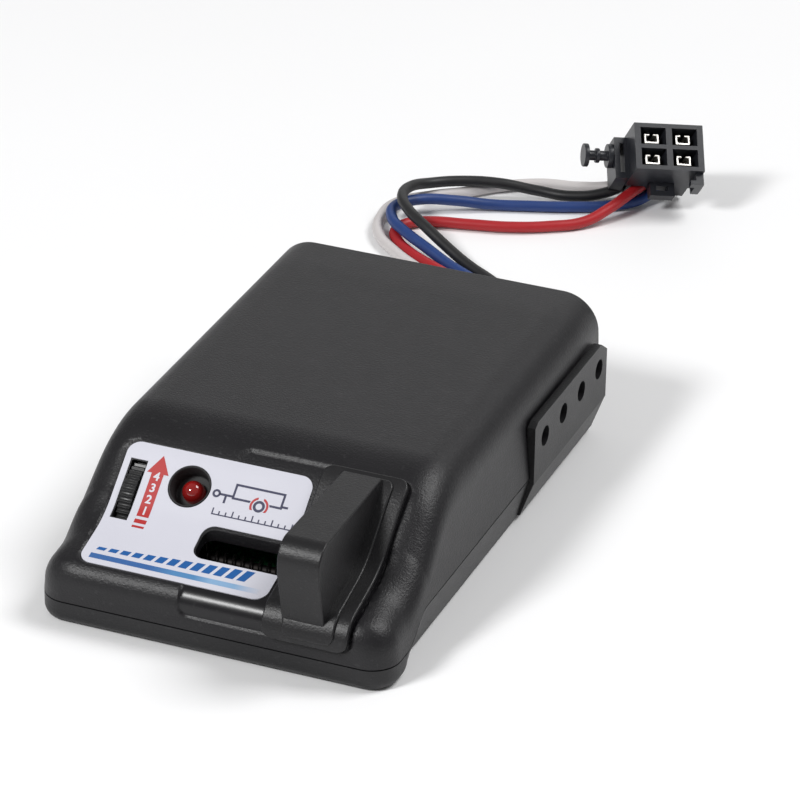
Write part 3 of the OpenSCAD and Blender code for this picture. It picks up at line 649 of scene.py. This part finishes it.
def upperCase():
    dense = [i * upper["step"] for i in range(round(along(36.5) / upper["step"]))]
    start = dense[-1] + upper["step"]
    stop = sum(length for length, turn in runs[:5])
    brow = [start + (stop - start) * i / 14 for i in range(15)]
    rows = [(s, 0.0) for s in upper["noseRows"] + dense + brow]
    rows += [(stop + (runs[5][0] - case["backEdge"]) * i / 6, 0.0) for i in range(1, 7)]
    rows += backRows(stop + runs[5][0], (30, 60, 90))
    points = []
    for s, inset in rows:
        y, top, slope = walk(max(s, 0))
        foot = case["seamLow"] + case["seamGap"]
        for x, z in upperSection(y, top, inset):
            if s <= 0:
                x, z = x * (1 + s * upper["noseNarrow"]), foot + (z - foot) * (1 + s / (lipHeight - foot))
            spot = s if s > 0 else z - lipHeight
            sunk = case["recess"] * max(inside(x, spot, upper["track"], upper["trackCorner"]),
                                        inside(x, spot, upper["label"], upper["labelCorner"]))
            if 0 < s < 50 and sunk > (top - z) * math.cos(slope):
                points.append((x, *walk(s, -sunk)[:2]))
            else:
                points.append((x, y + (sunk if s <= 0 else 0), z))
    wide = len(points) // len(rows)
    bpy.ops.mesh.primitive_grid_add(x_subdivisions=wide - 1, y_subdivisions=len(rows) - 1, size=1)
    obj = bpy.context.object
    for vertex, (x, y, z) in zip(obj.data.vertices, points):
        vertex.co = (x * mm, y * mm, z * mm)
    for row in (0, len(rows) - 1):
        pick(obj, "VERT", lambda v: v.index // wide == row)
        bpy.ops.mesh.edge_face_add()
        done(obj)
    outward(pick(obj, "FACE", lambda f: True))
    modify(obj, "SOLIDIFY", thickness=case["wall"] * mm, offset=-1, use_even_offset=False)
    slot = upper["slot"]
    cutters = [block("slotCut", (slot[0], slot[2], 9), (slot[1], slot[3], 30))]
    roundEdges(cutters[0], lambda a, b: upright(a, b) and a.x < 0, upper["slotCorner"], 8)
    py, pz = case["panelPoint"]
    window = block("windowCut", (upper["window"][0], upper["windowSlide"] - upper["windowLength"] / 2, -8),
                   (upper["window"][1], upper["windowSlide"] + upper["windowLength"] / 2, 4))
    roundEdges(window, upright, 0.4, 3)
    window.rotation_euler.x = math.radians(case["panelSlope"])
    window.location = (0, py * mm, pz * mm)
    cutters.append(settle(window))
    cutters.append(rod("wheelCut", ((upper["window"][0] + upper["window"][1]) / 2, *upper["wheelAxis"]),
                       upper["wheelRadius"] + upper["wheelRoom"], upper["window"][1] - upper["window"][0],
                       (0, 90, 0), 96))
    cup = rod("lampCut", (*upper["lamp"], -1), upper["cup"] + upper["cupRoom"], 12, sides=96)
    cup.rotation_euler.x = math.radians(case["panelSlope"])
    cup.location = (0, py * mm, pz * mm)
    cutters.append(settle(cup))
    railFront, railHigh = upper["rail"]
    for side in (-1, 1):
        x0, x1 = sorted(side * (case["width"] / 2 + out) for out in (-upper["railIn"], upper["railOut"]))
        cutters.append(block("railCut", (x0, railFront - upper["railRoom"], 0),
                             (x1, case["length"] + 10, railHigh + upper["railRoom"])))
    for cutter in cutters:
        cut(obj, cutter)
    placed(obj)
    smooth(obj, 34)
    return hand(obj, "caseTop", "caseBlack", "case_black", "root", "upper_case")


upperCase()


# lower half of the case, with its rails

lower = {"foot": 2.5, "lean": 2.7, "caseScrews": [(-34.5, 6.8), (34.5, 6.8), (-32.2, 112), (32.2, 112)],
         "boardScrews": [(-26, 52), (26, 52), (-26, 116), (26, 116)],
         "counterbore": (0.6, 3.1, 3.2), "caseBoss": (4.2, 4.4, 2.1), "caseHole": (4, 1.7, 6),
         "boardBoss": (3.5, 3, 3), "boardHole": (4.2, 1.35, 3.4),
         "posts": (-16.5, 33.6), "postWidth": 3, "postHalf": 2.6, "postOver": 2.1, "rod": (19.2, 12.3),
         "grommet": (9.3, 8.1), "leadHalf": 7.7, "leadUnder": 2.8,
         "rail": (82.7, 129.6), "railTop": 24.8, "railOut": 1, "railThick": 1.9, "railFoot": 0.9,
         "railLow": 9.6, "railKnee": 9.75, "hole": 2.4, "holes": (106.8, 19), "pitch": 11.7}


def lowerSection(y, inset):
    top, side, lean = seamAt(y), planAt(y) - inset, ease((y - 8) / 12)
    r = lower["foot"]
    low = (r - math.sqrt(r * r - (r - y) ** 2) if y < r else 0) + inset
    knee = side - lean * lower["lean"]
    foot, high = knee - r * (1 - 0.6 * lean), r * (1 - 0.5 * lean)
    half = [(side + (knee - side) * i / 6, top + (low + high - top) * i / 6) for i in range(6)]
    half += [(foot + (knee - foot) * math.cos(a), low + high - high * math.sin(a))
             for a in [math.radians(9 * i) for i in range(10)]]
    half += [(foot * (1 - i / 12), low) for i in range(12)]
    return half + [(0.0, low)] + [(-x, z) for x, z in reversed(half)]


def rail(side):
    outer = side * (case["width"] / 2 + lower["railOut"])
    y0, y1 = lower["rail"]
    top, foot, low, knee = [lower[key] for key in ("railTop", "railFoot", "railLow", "railKnee")]
    outline = [(y0, low), (y0, top - 1), (y0 + 1.8, top), (y1 - 4, top), (y1, top - 2.8), (y1, low)]
    wall = prism("rail", outline, "X", outer, outer - side * lower["railThick"])
    for k in (-1.5, -0.5, 0.5, 1.5):
        spot = (outer, lower["holes"][0] + k * lower["pitch"], lower["holes"][1])
        cut(wall, rod("hole", spot, lower["hole"], 8, (0, 90, 0), 48))
    modify(wall, "BEVEL", width=0.22 * mm, segments=3, limit_method="ANGLE", angle_limit=math.radians(35))
    slope = prism("railFoot", [(outer, knee), (outer - side * 3.2, foot), (outer - side * 6, foot),
                               (outer - side * 2.9, knee)], "Y", y0, y1)
    modify(slope, "BEVEL", width=0.18 * mm, segments=3, limit_method="ANGLE", angle_limit=math.radians(35))
    return [wall, slope]


def pillar(name, x, y, sizes, sides):
    middle, radius, high = sizes
    return rod(name, (x, y, middle), radius, high, sides=sides)


def lowerCase():
    rows = [0.0, 0.03, 0.12, 0.3, 0.55, 0.9, 1.3, 1.8, 2.5, 3.2, 4, 5, 6, 6.7, 7.6, 8.6]
    rows += [9.4 + i * 0.55 for i in range(24)] + [30, 60, 90, 120]
    rows = [(y, 0.0) for y in rows]
    rows += backRows(case["length"], (0, 30, 60, 90))
    points = [(x, y, z) for y, inset in rows for x, z in lowerSection(y, inset)]
    wide = len(points) // len(rows)
    bpy.ops.mesh.primitive_grid_add(x_subdivisions=wide - 1, y_subdivisions=len(rows) - 1, size=1)
    obj = bpy.context.object
    for vertex, point in zip(obj.data.vertices, points):
        vertex.co = [c * mm for c in point]
    for y in (0, case["length"]):
        pick(obj, "VERT", lambda v: abs(v.co.y - y * mm) < 0.000001)
        bpy.ops.mesh.edge_face_add()
        done(obj)
    outward(pick(obj, "FACE", lambda f: True))
    modify(obj, "SOLIDIFY", thickness=case["wall"] * mm, offset=-1, use_even_offset=False)
    gx, gz = lower["grommet"]
    half = lower["leadHalf"]
    cut(obj, block("leadGap", (gx - half, 124, gz - lower["leadUnder"]), (gx + half, 134, 20)))
    for x, y in lower["caseScrews"]:
        cut(obj, pillar("counterbore", x, y, lower["counterbore"], 48))
    parts = [obj]
    for kind in ("case", "board"):
        for x, y in lower[kind + "Screws"]:
            boss = pillar("boss", x, y, lower[kind + "Boss"], 48)
            parts.append(cut(boss, pillar("hole", x, y, lower[kind + "Hole"], 32)))
    ry, rz = lower["rod"]
    for x in lower["posts"]:
        post = block("post", (x, ry - lower["postHalf"], 2),
                     (x + lower["postWidth"], ry + lower["postHalf"], rz + lower["postOver"]))
        modify(post, "BEVEL", width=0.3 * mm, segments=2)
        parts.append(post)
    parts += rail(1) + rail(-1)
    obj = placed(joined("caseBottom", parts))
    smooth(obj, 34)
    modify(obj, "WEIGHTED_NORMAL", keep_sharp=True)
    return hand(obj, "caseBottom", "trayBlack", "tray_black", "root", "lower_case")


lowerCase()


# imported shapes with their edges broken

fromFrame("wire_grommet", "wireGrommet", "rubber", "grommet_rubber", 0.35)
fromFrame("gain_wheel", "gainWheel", "wheelBlack", "wheel_black", 0.07, "gain", segments=2)
fromFrame("plug_housing", "plugHousing", "plugBlack", "plug_black", 0.22)
fromFrame("plug_clip", "plugClip", "plugBlack", "plug_black", 0.15)
fromFrame("plug_terminals", "plugTerminals", "tin", "terminal_tin", 0.1, segments=2)
fromFrame("case_screws", "caseScrews", "blackSteel", "black_steel", 0.08, segments=2)

# the spring's left end stays by its post; its right end, at the lever's carriage, does not follow it, since the
# spring is hung on no body and its place is baked into its mesh
spring = fromFrame("return_spring", "returnSpring", "blackSteel", "spring_steel", 0, None)
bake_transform(spring)


# label and its print, drawn flat and bent over the panel

label = {"area": (-32.7, 11.2, 3.4, 31.4), "corner": 3, "low": -0.5, "thick": 0.25, "ink": 0.035,
         "slotRoom": 0.45, "windowRoom": 0.25, "lampRoom": 0.55}
panelSpot = along(case["panelPoint"][0])
paperTop = label["low"] + label["thick"]


def panelLabel():
    x0, x1, y0, y1 = label["area"]
    obj = block("panelLabel", (x0, along(y0), label["low"]), (x1, along(y1), paperTop))
    roundEdges(obj, upright, label["corner"], 12)
    room, slot = label["slotRoom"], upper["slot"]
    opening = block("slotCut", (slot[0] - room, along(slot[2]) - room, -2),
                    (slot[1], along(slot[3]) + room, 1))
    roundEdges(opening, lambda a, b: upright(a, b) and a.x < 0, upper["slotCorner"] + room, 10)
    cut(obj, opening)
    room, middle = label["windowRoom"], panelSpot + upper["windowSlide"]
    cut(obj, block("windowCut", (upper["window"][0] - room, middle - upper["windowLength"] / 2 - room, -2),
                   (upper["window"][1] + room, middle + upper["windowLength"] / 2 + room, 1)))
    cut(obj, rod("lampCut", (upper["lamp"][0], panelSpot + upper["lamp"][1], 0),
                 upper["cup"] + label["lampRoom"], 6, sides=96))
    overPanel(obj)
    smooth(obj, 30)
    return hand(obj, "panelLabel", "labelFilm", "label_print", "root", "panel_label")


def patch(x0, x1, s0, s1):
    return block("patch", (x0, s0, paperTop), (x1, s1, paperTop + label["ink"]))


def leaning(obj, amount):
    foot = min(v.co.y for v in obj.data.vertices)
    for vertex in obj.data.vertices:
        vertex.co.x += (vertex.co.y - foot) * amount
    return obj


def arrowHead(x, s0, s1, half):
    high = (s1 - s0) / 1.5
    middle = (x * mm, (s0 + high / 2) * mm, (paperTop + label["ink"] / 2) * mm)
    bpy.ops.mesh.primitive_cylinder_add(vertices=3, radius=mm, depth=label["ink"] * mm, location=middle)
    obj = bpy.context.object
    obj.scale = (half / 0.866, high, 1)
    return settle(obj)


def numeral(sign, x, s, size):
    # a figure that lies on the ink under it
    bpy.ops.object.text_add(location=(x * mm, s * mm, (paperTop + 1.5 * label["ink"]) * mm))
    obj = bpy.context.object
    obj.data.body = sign
    obj.data.size = size * mm
    obj.data.align_x, obj.data.align_y = "CENTER", "CENTER"
    obj.data.extrude = label["ink"] / 2 * mm
    obj.data.offset = 0.07 * mm
    obj.data.resolution_u = 4
    solo(obj)
    bpy.ops.object.convert(target="MESH")
    settle(obj)
    solo(obj)
    bpy.ops.object.mode_set(mode="EDIT")
    bpy.ops.mesh.select_all(action="SELECT")
    bpy.ops.mesh.remove_doubles(threshold=0.0000005)
    return outward(obj)


def ring(x, s, outer, inner):
    middle = paperTop + 0.5 * label["ink"]
    obj = rod("ring", (x, s, middle), outer, label["ink"], sides=48)
    return cut(obj, rod("hole", (x, s, middle), inner, 1, sides=48))


def printed(name, look, parts):
    obj = joined(name, parts)
    overPanel(obj)
    smooth(obj, 30)
    return hand(obj, name, look, "label_print")


arrow = {"x": -24.05, "half": 1.42, "foot": 18.2, "neck": 26.3, "tip": 29.6, "barb": 2.55,
         "tails": ((16.7, 1.0), (15.6, 0.55)), "figure": 2.75}


def gainArrow():
    x, half, foot, neck = arrow["x"], arrow["half"], along(arrow["foot"]), along(arrow["neck"])
    shaft = patch(x - half, x + half, foot, neck + 0.01)
    tails = [patch(x - half, x + half, along(y), along(y) + high) for y, high in arrow["tails"]]
    head = arrowHead(x, neck, along(arrow["tip"]), arrow["barb"])
    printed("gainArrow", "inkRed", [shaft, head] + tails)
    step = (neck + 0.6 - foot) / 4
    printed("gainNumbers", "inkWhite", [numeral(str(i + 1), x, foot + step * (i + 0.5), arrow["figure"])
                                        for i in range(4)])


# the trailer's pieces are given from its own middle: left, right, low and high, or a centre and two radii
trailer = {"x": -0.6, "rise": -0.1, "body": (-5.2, 6.6, -1.1, 2.6), "line": 0.5, "axle": (1.4, -1.5),
           "arch": 2.35, "wheel": (1.35, 0.75), "arcs": (2.15, 1.65), "bar": (-8.2, -5.1, -0.75, -0.25),
           "hitch": (-8.9, -0.5, 0.95, 0.45), "jack": (-6.9, -6.4, -2.4, -0.7),
           "tail": (6.5, 7.9, -0.75, -0.25), "arcsLow": -2.6, "arcsGap": (0.75, 2.05)}


def trailerSign():
    x, s = trailer["x"], panelSpot + trailer["rise"]
    axleX, axleS = x + trailer["axle"][0], s + trailer["axle"][1]
    strips = []
    for key in ("body", "bar", "jack", "tail"):
        x0, x1, s0, s1 = trailer[key]
        strips.append(patch(x + x0, x + x1, s + s0, s + s1))
    body, bar, jack, tail = strips
    x0, x1, s0, s1 = trailer["body"]
    line = trailer["line"]
    cut(body, block("hollow", (x + x0 + line, s + s0 + line, -2), (x + x1 - line, s + s1 - line, 1)))
    cut(body, rod("arch", (axleX, axleS, paperTop), trailer["arch"], 2, sides=48))
    wheel = ring(axleX, axleS, *trailer["wheel"])
    hitchX, hitchS, outer, inner = trailer["hitch"]
    hitch = ring(x + hitchX, s + hitchS, outer, inner)
    printed("trailerSign", "inkNavy", [body, wheel, bar, hitch, jack, tail])
    arcs = ring(axleX, axleS, *trailer["arcs"])
    cut(arcs, block("gapLow", (x - 4, s - 9, -2), (x + 6, s + trailer["arcsLow"], 1)))
    cut(arcs, block("gapHigh", (x + trailer["arcsGap"][0], s - 3, -2), (x + trailer["arcsGap"][1], s + 3, 1)))
    printed("brakeArcs", "inkRed", [arcs])


scale = {"foot": 21.6, "left": -9.2, "right": 9.7, "pitch": 1.55, "tick": 0.3, "long": 1.3, "short": 0.75,
         "line": 0.28}
growingBar = {"foot": 7.5, "left": -30, "pitch": 2.75, "width": 1.9, "high": 0.9, "growth": 0.2, "lean": 0.38}


def scaleAndBars():
    low, ticks = along(scale["foot"]), []
    for i in range(13):
        left = scale["left"] + i * scale["pitch"]
        ticks.append(patch(left, left + scale["tick"], low, low + scale["short" if i % 3 else "long"]))
    ticks.append(patch(scale["left"], scale["right"], low - scale["line"], low))
    printed("leverScale", "inkNavy", ticks)
    low, bars = along(growingBar["foot"]), []
    for i in range(13):
        left = growingBar["left"] + i * growingBar["pitch"]
        high = low + growingBar["high"] + i * growingBar["growth"]
        flat = patch(left, left + growingBar["width"], low, high)
        bars.append(leaning(flat, growingBar["lean"]))
    printed("growingBars", "inkBlue", bars)
    low = along(fadingBar["foot"])
    faded = patch(fadingBar["left"], fadingBar["right"], low, low + fadingBar["high"])
    printed("fadingBar", "gradientBar", [faded])


panelLabel()
gainArrow()
trailerSign()
scaleAndBars()


# lever

lever = {"plate": (12.5, 32.3), "foot": -1.2, "top": 34.4, "low": 0.05, "thick": 1.4, "corner": 2.5,
         "step": (17.3, 29.3), "stepHigh": 2.05, "fin": (17.1, 26.9), "finFront": -3.3, "finBack": 31.6,
         "finTop": 33.7, "finRound": 5, "finTaper": 0.92, "finEdge": 0.75, "finLow": 26,
         "edge": 0.45, "stepCorner": 1.9, "stem": (12.6, 19.4, 12.9, 17.2, 13.8, 18.4)}


def plate(name, x, foot, top, low, high, corner, edge):
    obj = block(name, (x[0], foot, low), (x[1], top, high))
    roundEdges(obj, upright, corner, 8)
    roundEdges(obj, lambda a, b: a.z > high - 0.001 and b.z > high - 0.001, edge, 4)
    return overPanel(obj, 0.7)


def finBlock():
    y0, y1, top, r = lever["finFront"], lever["finBack"], lever["finTop"], lever["finRound"]
    outline = [(y0, lever["finLow"])] + [(y0 + r - r * math.cos(a), top - r + r * math.sin(a))
                            for a in [math.radians(7.5 * i) for i in range(13)]] + [(y1, top)]
    end = along(y1)
    outline += [walk(end - (end - 2.2) * i / 40, 0.9)[:2] for i in range(41)]
    obj = prism("fin", outline, "X", *lever["fin"])
    pick(obj, "VERT", lambda v: v.co.y > (y1 - 0.01) * mm)
    middle = (lever["fin"][0] + lever["fin"][1]) / 2
    bpy.ops.transform.resize(value=(lever["finTaper"], 1, 1), center_override=(middle * mm, y1 * mm, top * mm))
    done(obj)
    modify(obj, "BEVEL", width=lever["finEdge"] * mm, segments=4, limit_method="ANGLE",
           angle_limit=math.radians(40))
    return placed(obj)


def slideLever():
    parts = [plate("plate", lever["plate"], lever["foot"], along(lever["top"]), lever["low"],
                   lever["low"] + lever["thick"], lever["corner"], lever["edge"]),
             plate("step", lever["step"], 0.2, along(lever["top"] - 1.2), lever["low"] + 0.2,
                   lever["stepHigh"], lever["stepCorner"], lever["edge"]),
             finBlock()]
    x0, x1, y0, y1, low, high = lever["stem"]
    stem = placed(block("stem", (x0, y0, low), (x1, y1, high)))
    parts.append(modify(stem, "BEVEL", width=0.3 * mm, segments=2))
    obj = joined("slideLever", parts)
    smooth(obj, 34)
    modify(obj, "WEIGHTED_NORMAL", keep_sharp=True)
    return hand(obj, "slideLever", "leverBlack", "lever_black", "lever", "slide_lever")


slideLever()


# lamp in its cup

lampShape = {"rim": [(4.85, -5.8), (4.85, -0.28), (4.78, -0.12), (4.66, -0.05), (4.54, -0.08),
                     (4.44, -0.2), (4.38, -0.5), (4.25, -4.0), (4.12, -4.25), (3.9, -4.36), (2.62, -4.4)],
             "lens": [(2.9, -9.0), (2.95, -8.9), (2.95, -8.1), (2.9, -8.0), (2.52, -8.0), (2.5, -3.4)],
             "dome": 2.5, "domeFoot": -3.4, "legs": 1.27, "legBack": 31.3}
lampShape["lens"] += [(lampShape["dome"] * math.cos(a), lampShape["domeFoot"] + lampShape["dome"] * math.sin(a))
                      for a in [math.radians(8 * i) for i in range(1, 11)]]


def turned(name, outline, sides=72):
    radius, height = outline[0]
    bpy.ops.mesh.primitive_circle_add(vertices=sides, radius=radius * mm, location=(0, 0, height * mm),
                                      fill_type="NGON")
    obj = bpy.context.object
    obj.name = name
    settle(obj)
    bpy.ops.object.mode_set(mode="EDIT")
    bpy.ops.mesh.select_all(action="SELECT")
    for nextRadius, nextHeight in outline[1:]:
        bpy.ops.mesh.extrude_region_move(TRANSFORM_OT_translate={"value": (0, 0, (nextHeight - height) * mm)})
        wider = nextRadius / radius
        bpy.ops.transform.resize(value=(wider, wider, 1), center_override=(0, 0, nextHeight * mm))
        radius, height = nextRadius, nextHeight
    return outward(obj)


def onPanel(obj, x, slide):
    y, z = case["panelPoint"]
    turn = math.radians(case["panelSlope"])
    obj.rotation_euler.x = turn
    obj.location = (x * mm, (y + slide * math.cos(turn)) * mm, (z + slide * math.sin(turn)) * mm)
    return placed(settle(obj))


def lamp():
    cup = onPanel(turned("lampCup", lampShape["rim"]), *upper["lamp"])
    hand(smooth(cup, 40), "lampCup", "rubber", "case_black")
    lens = onPanel(turned("lampLens", lampShape["lens"]), *upper["lamp"])
    hand(smooth(lens, 40), "lampLens", "lampRed", "lamp_red", "root", "status_lamp")
    legs = []
    for sizes in ((11.2, 0.3, 14.2), (7.0, 0.55, 0.7)):
        for side in (-1, 1):
            x = upper["lamp"][0] + side * lampShape["legs"]
            legs.append(pillar("leg", x, lampShape["legBack"], sizes, 16))
    hand(placed(smooth(joined("lampLegs", legs))), "lampLegs", "tin", "terminal_tin")


lamp()


# wires

grommetBack = 66.4
wires = {
    "White": ("wire_white", 182, [
        [4.2, grommetBack, 8.1], [4.2, 71, 8.1], [4.2, 78.5, 4.9], [3.9, 86.5, 1.9], [2.2, 97, 1.4],
        [-3.2, 106.2, 1.4], [-11.4, 113.8, 1.4], [-20.2, 119.1, 1.4], [-29, 124.2, 1.4],
        [-37.7, 130.6, 1.4], [-44.8, 137.8, 1.4], [-48.9, 147.4, 1.4], [-47.9, 156.8, 1.4],
        [-41.5, 164.2, 1.4], [-33.5, 170.6, 1.4], [-26, 177.8, 1.4], [-17.5, 182.9, 1.4],
        [-8, 185.1, 1.4], [1, 187.4, 2.7], [7, 190.6, 4.6]]),
    "Red": ("wire_red", 173, [
        [7.6, grommetBack, 8.1], [7.6, 71, 8.1], [7.6, 78.5, 4.9], [7.4, 86.5, 1.9], [5.6, 97, 1.4],
        [0.4, 107, 1.4], [-8, 115.6, 1.4], [-17, 121.6, 1.4], [-25.5, 126.4, 1.4],
        [-33.4, 131.2, 1.4], [-38.9, 136.2, 1.4], [-41.9, 141.8, 1.4], [-40.6, 147, 1.4],
        [-35.6, 150.2, 1.4], [-26.5, 152.6, 1.4], [-16, 155.5, 1.4], [-7, 160, 1.4],
        [0.3, 165.5, 1.8], [4.6, 171.5, 3.6], [7.4, 178.5, 5.1], [9, 185.5, 5.4]]),
    "Blue": ("wire_blue", 182, [
        [11, grommetBack, 8.1], [11, 71, 8.1], [11, 78.5, 4.9], [10.8, 86.5, 1.9], [9, 97, 1.4],
        [3.7, 107.8, 1.4], [-4.8, 117.2, 1.4], [-13.6, 123.6, 1.4], [-22, 128.2, 2],
        [-30, 132.4, 3.4], [-37.6, 137, 4.3], [-43.2, 142.6, 4.4], [-45.2, 149.8, 4.4],
        [-41, 156.1, 4.2], [-33.5, 161, 3.2], [-25, 165.6, 1.7], [-15.5, 169.2, 1.4],
        [-6, 172.9, 1.4], [2.5, 177.4, 1.4], [8.5, 182.5, 1.9], [12, 188, 3.4]]),
    "Black": ("wire_black", 182, [
        [14.4, grommetBack, 8.1], [14.4, 71, 8.1], [14.4, 78.5, 4.9], [14.2, 86.5, 1.9], [12.4, 97, 1.4],
        [7.6, 108, 1.4], [-0.9, 118.1, 1.4], [-9.3, 124.9, 1.4], [-17.8, 129.9, 2.2],
        [-25.6, 134.1, 4.2], [-32.6, 138, 6.4], [-38.6, 142.6, 7.4], [-43.2, 149.2, 7.6],
        [-44.2, 157, 6.8], [-41.5, 164.6, 5.1], [-34.8, 170, 4.6], [-26, 173.6, 4.1],
        [-17, 176.4, 2.6], [-8, 177.6, 2.2], [0, 180.8, 3.2], [6, 186.2, 5.6]]),
}
wireDiameter = 2.8
wireLow = 1.54
wireLeft = -48.3


def wire(colour, node, length, route):
    line = bpy.data.curves.new("wire" + colour, "CURVE")
    line.dimensions = "3D"
    line.bevel_depth = wireDiameter / 2 * mm
    line.bevel_resolution = 6
    line.resolution_u = 10
    line.use_fill_caps = True
    spline = line.splines.new("BEZIER")
    spline.bezier_points.add(len(route) - 1)
    for point, (x, y, z) in zip(spline.bezier_points, route):
        # a curve swings a little wide of its points, so it's kept off the floor and inside the loop
        point.co = (max(x, wireLeft) * mm, y * mm, max(z, wireLow) * mm)
        point.handle_left_type = point.handle_right_type = "AUTO"
    obj = bpy.data.objects.new("wire" + colour, line)
    bpy.context.scene.collection.objects.link(obj)
    hand(obj, "wire" + colour, "wire" + colour, "wire_" + colour.lower(), "root", node)
    [c * mm for c in route[0]]
    length * mm


for colour, (node, length, route) in wires.items():
    wire(colour, node, length, route)


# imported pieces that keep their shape

def wireTails():
    s = Shader("wireTails", Roughness=0.45)
    across, tint = s.axis("X"), (0.7, 0.68, 0.67)
    for border, nextTint in ((5.9, (0.45, 0.016, 0.02)), (9.3, (0.018, 0.06, 0.23)),
                             (12.7, (0.014, 0.014, 0.015))):
        tint = s.mix(across > border * mm, tint, nextTint)
    s.feed(Base_Color=s.mix(s.noise(2, 3) * 0.15, tint, (0.3, 0.3, 0.3)), Roughness=0.4 + 0.2 * s.noise(1, 3),
           Normal=s.bump(s.noise(0.5, 3), 0.02))
    return s.material


finish["wireTails"] = wireTails()
looks = {"lever_carriage": "acetal", "carriage_screw": "zinc", "guide_rod": "blackSteel",
         "slide_control": "blackSteel", "slide_wiper": "wiperBrown", "gain_spindle": "spindleWhite",
         "gain_control": "controlBlue", "circuit_board": "boardGreen", "board_screws": "zinc",
         "heat_sink": "aluminium", "power_transistors": "transistorBody", "transistor_screws": "zinc",
         "capacitors": "canSleeve",
         "control_chips": "chipBody", "resistors": "resistorTan", "flyback_diode": "packageBlack",
         "wire_tails": "wireTails"}
for node, look in looks.items():
    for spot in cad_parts[node].material_slots:
        spot.material = finish[look]
print("packed pieces dressed:", len(looks))
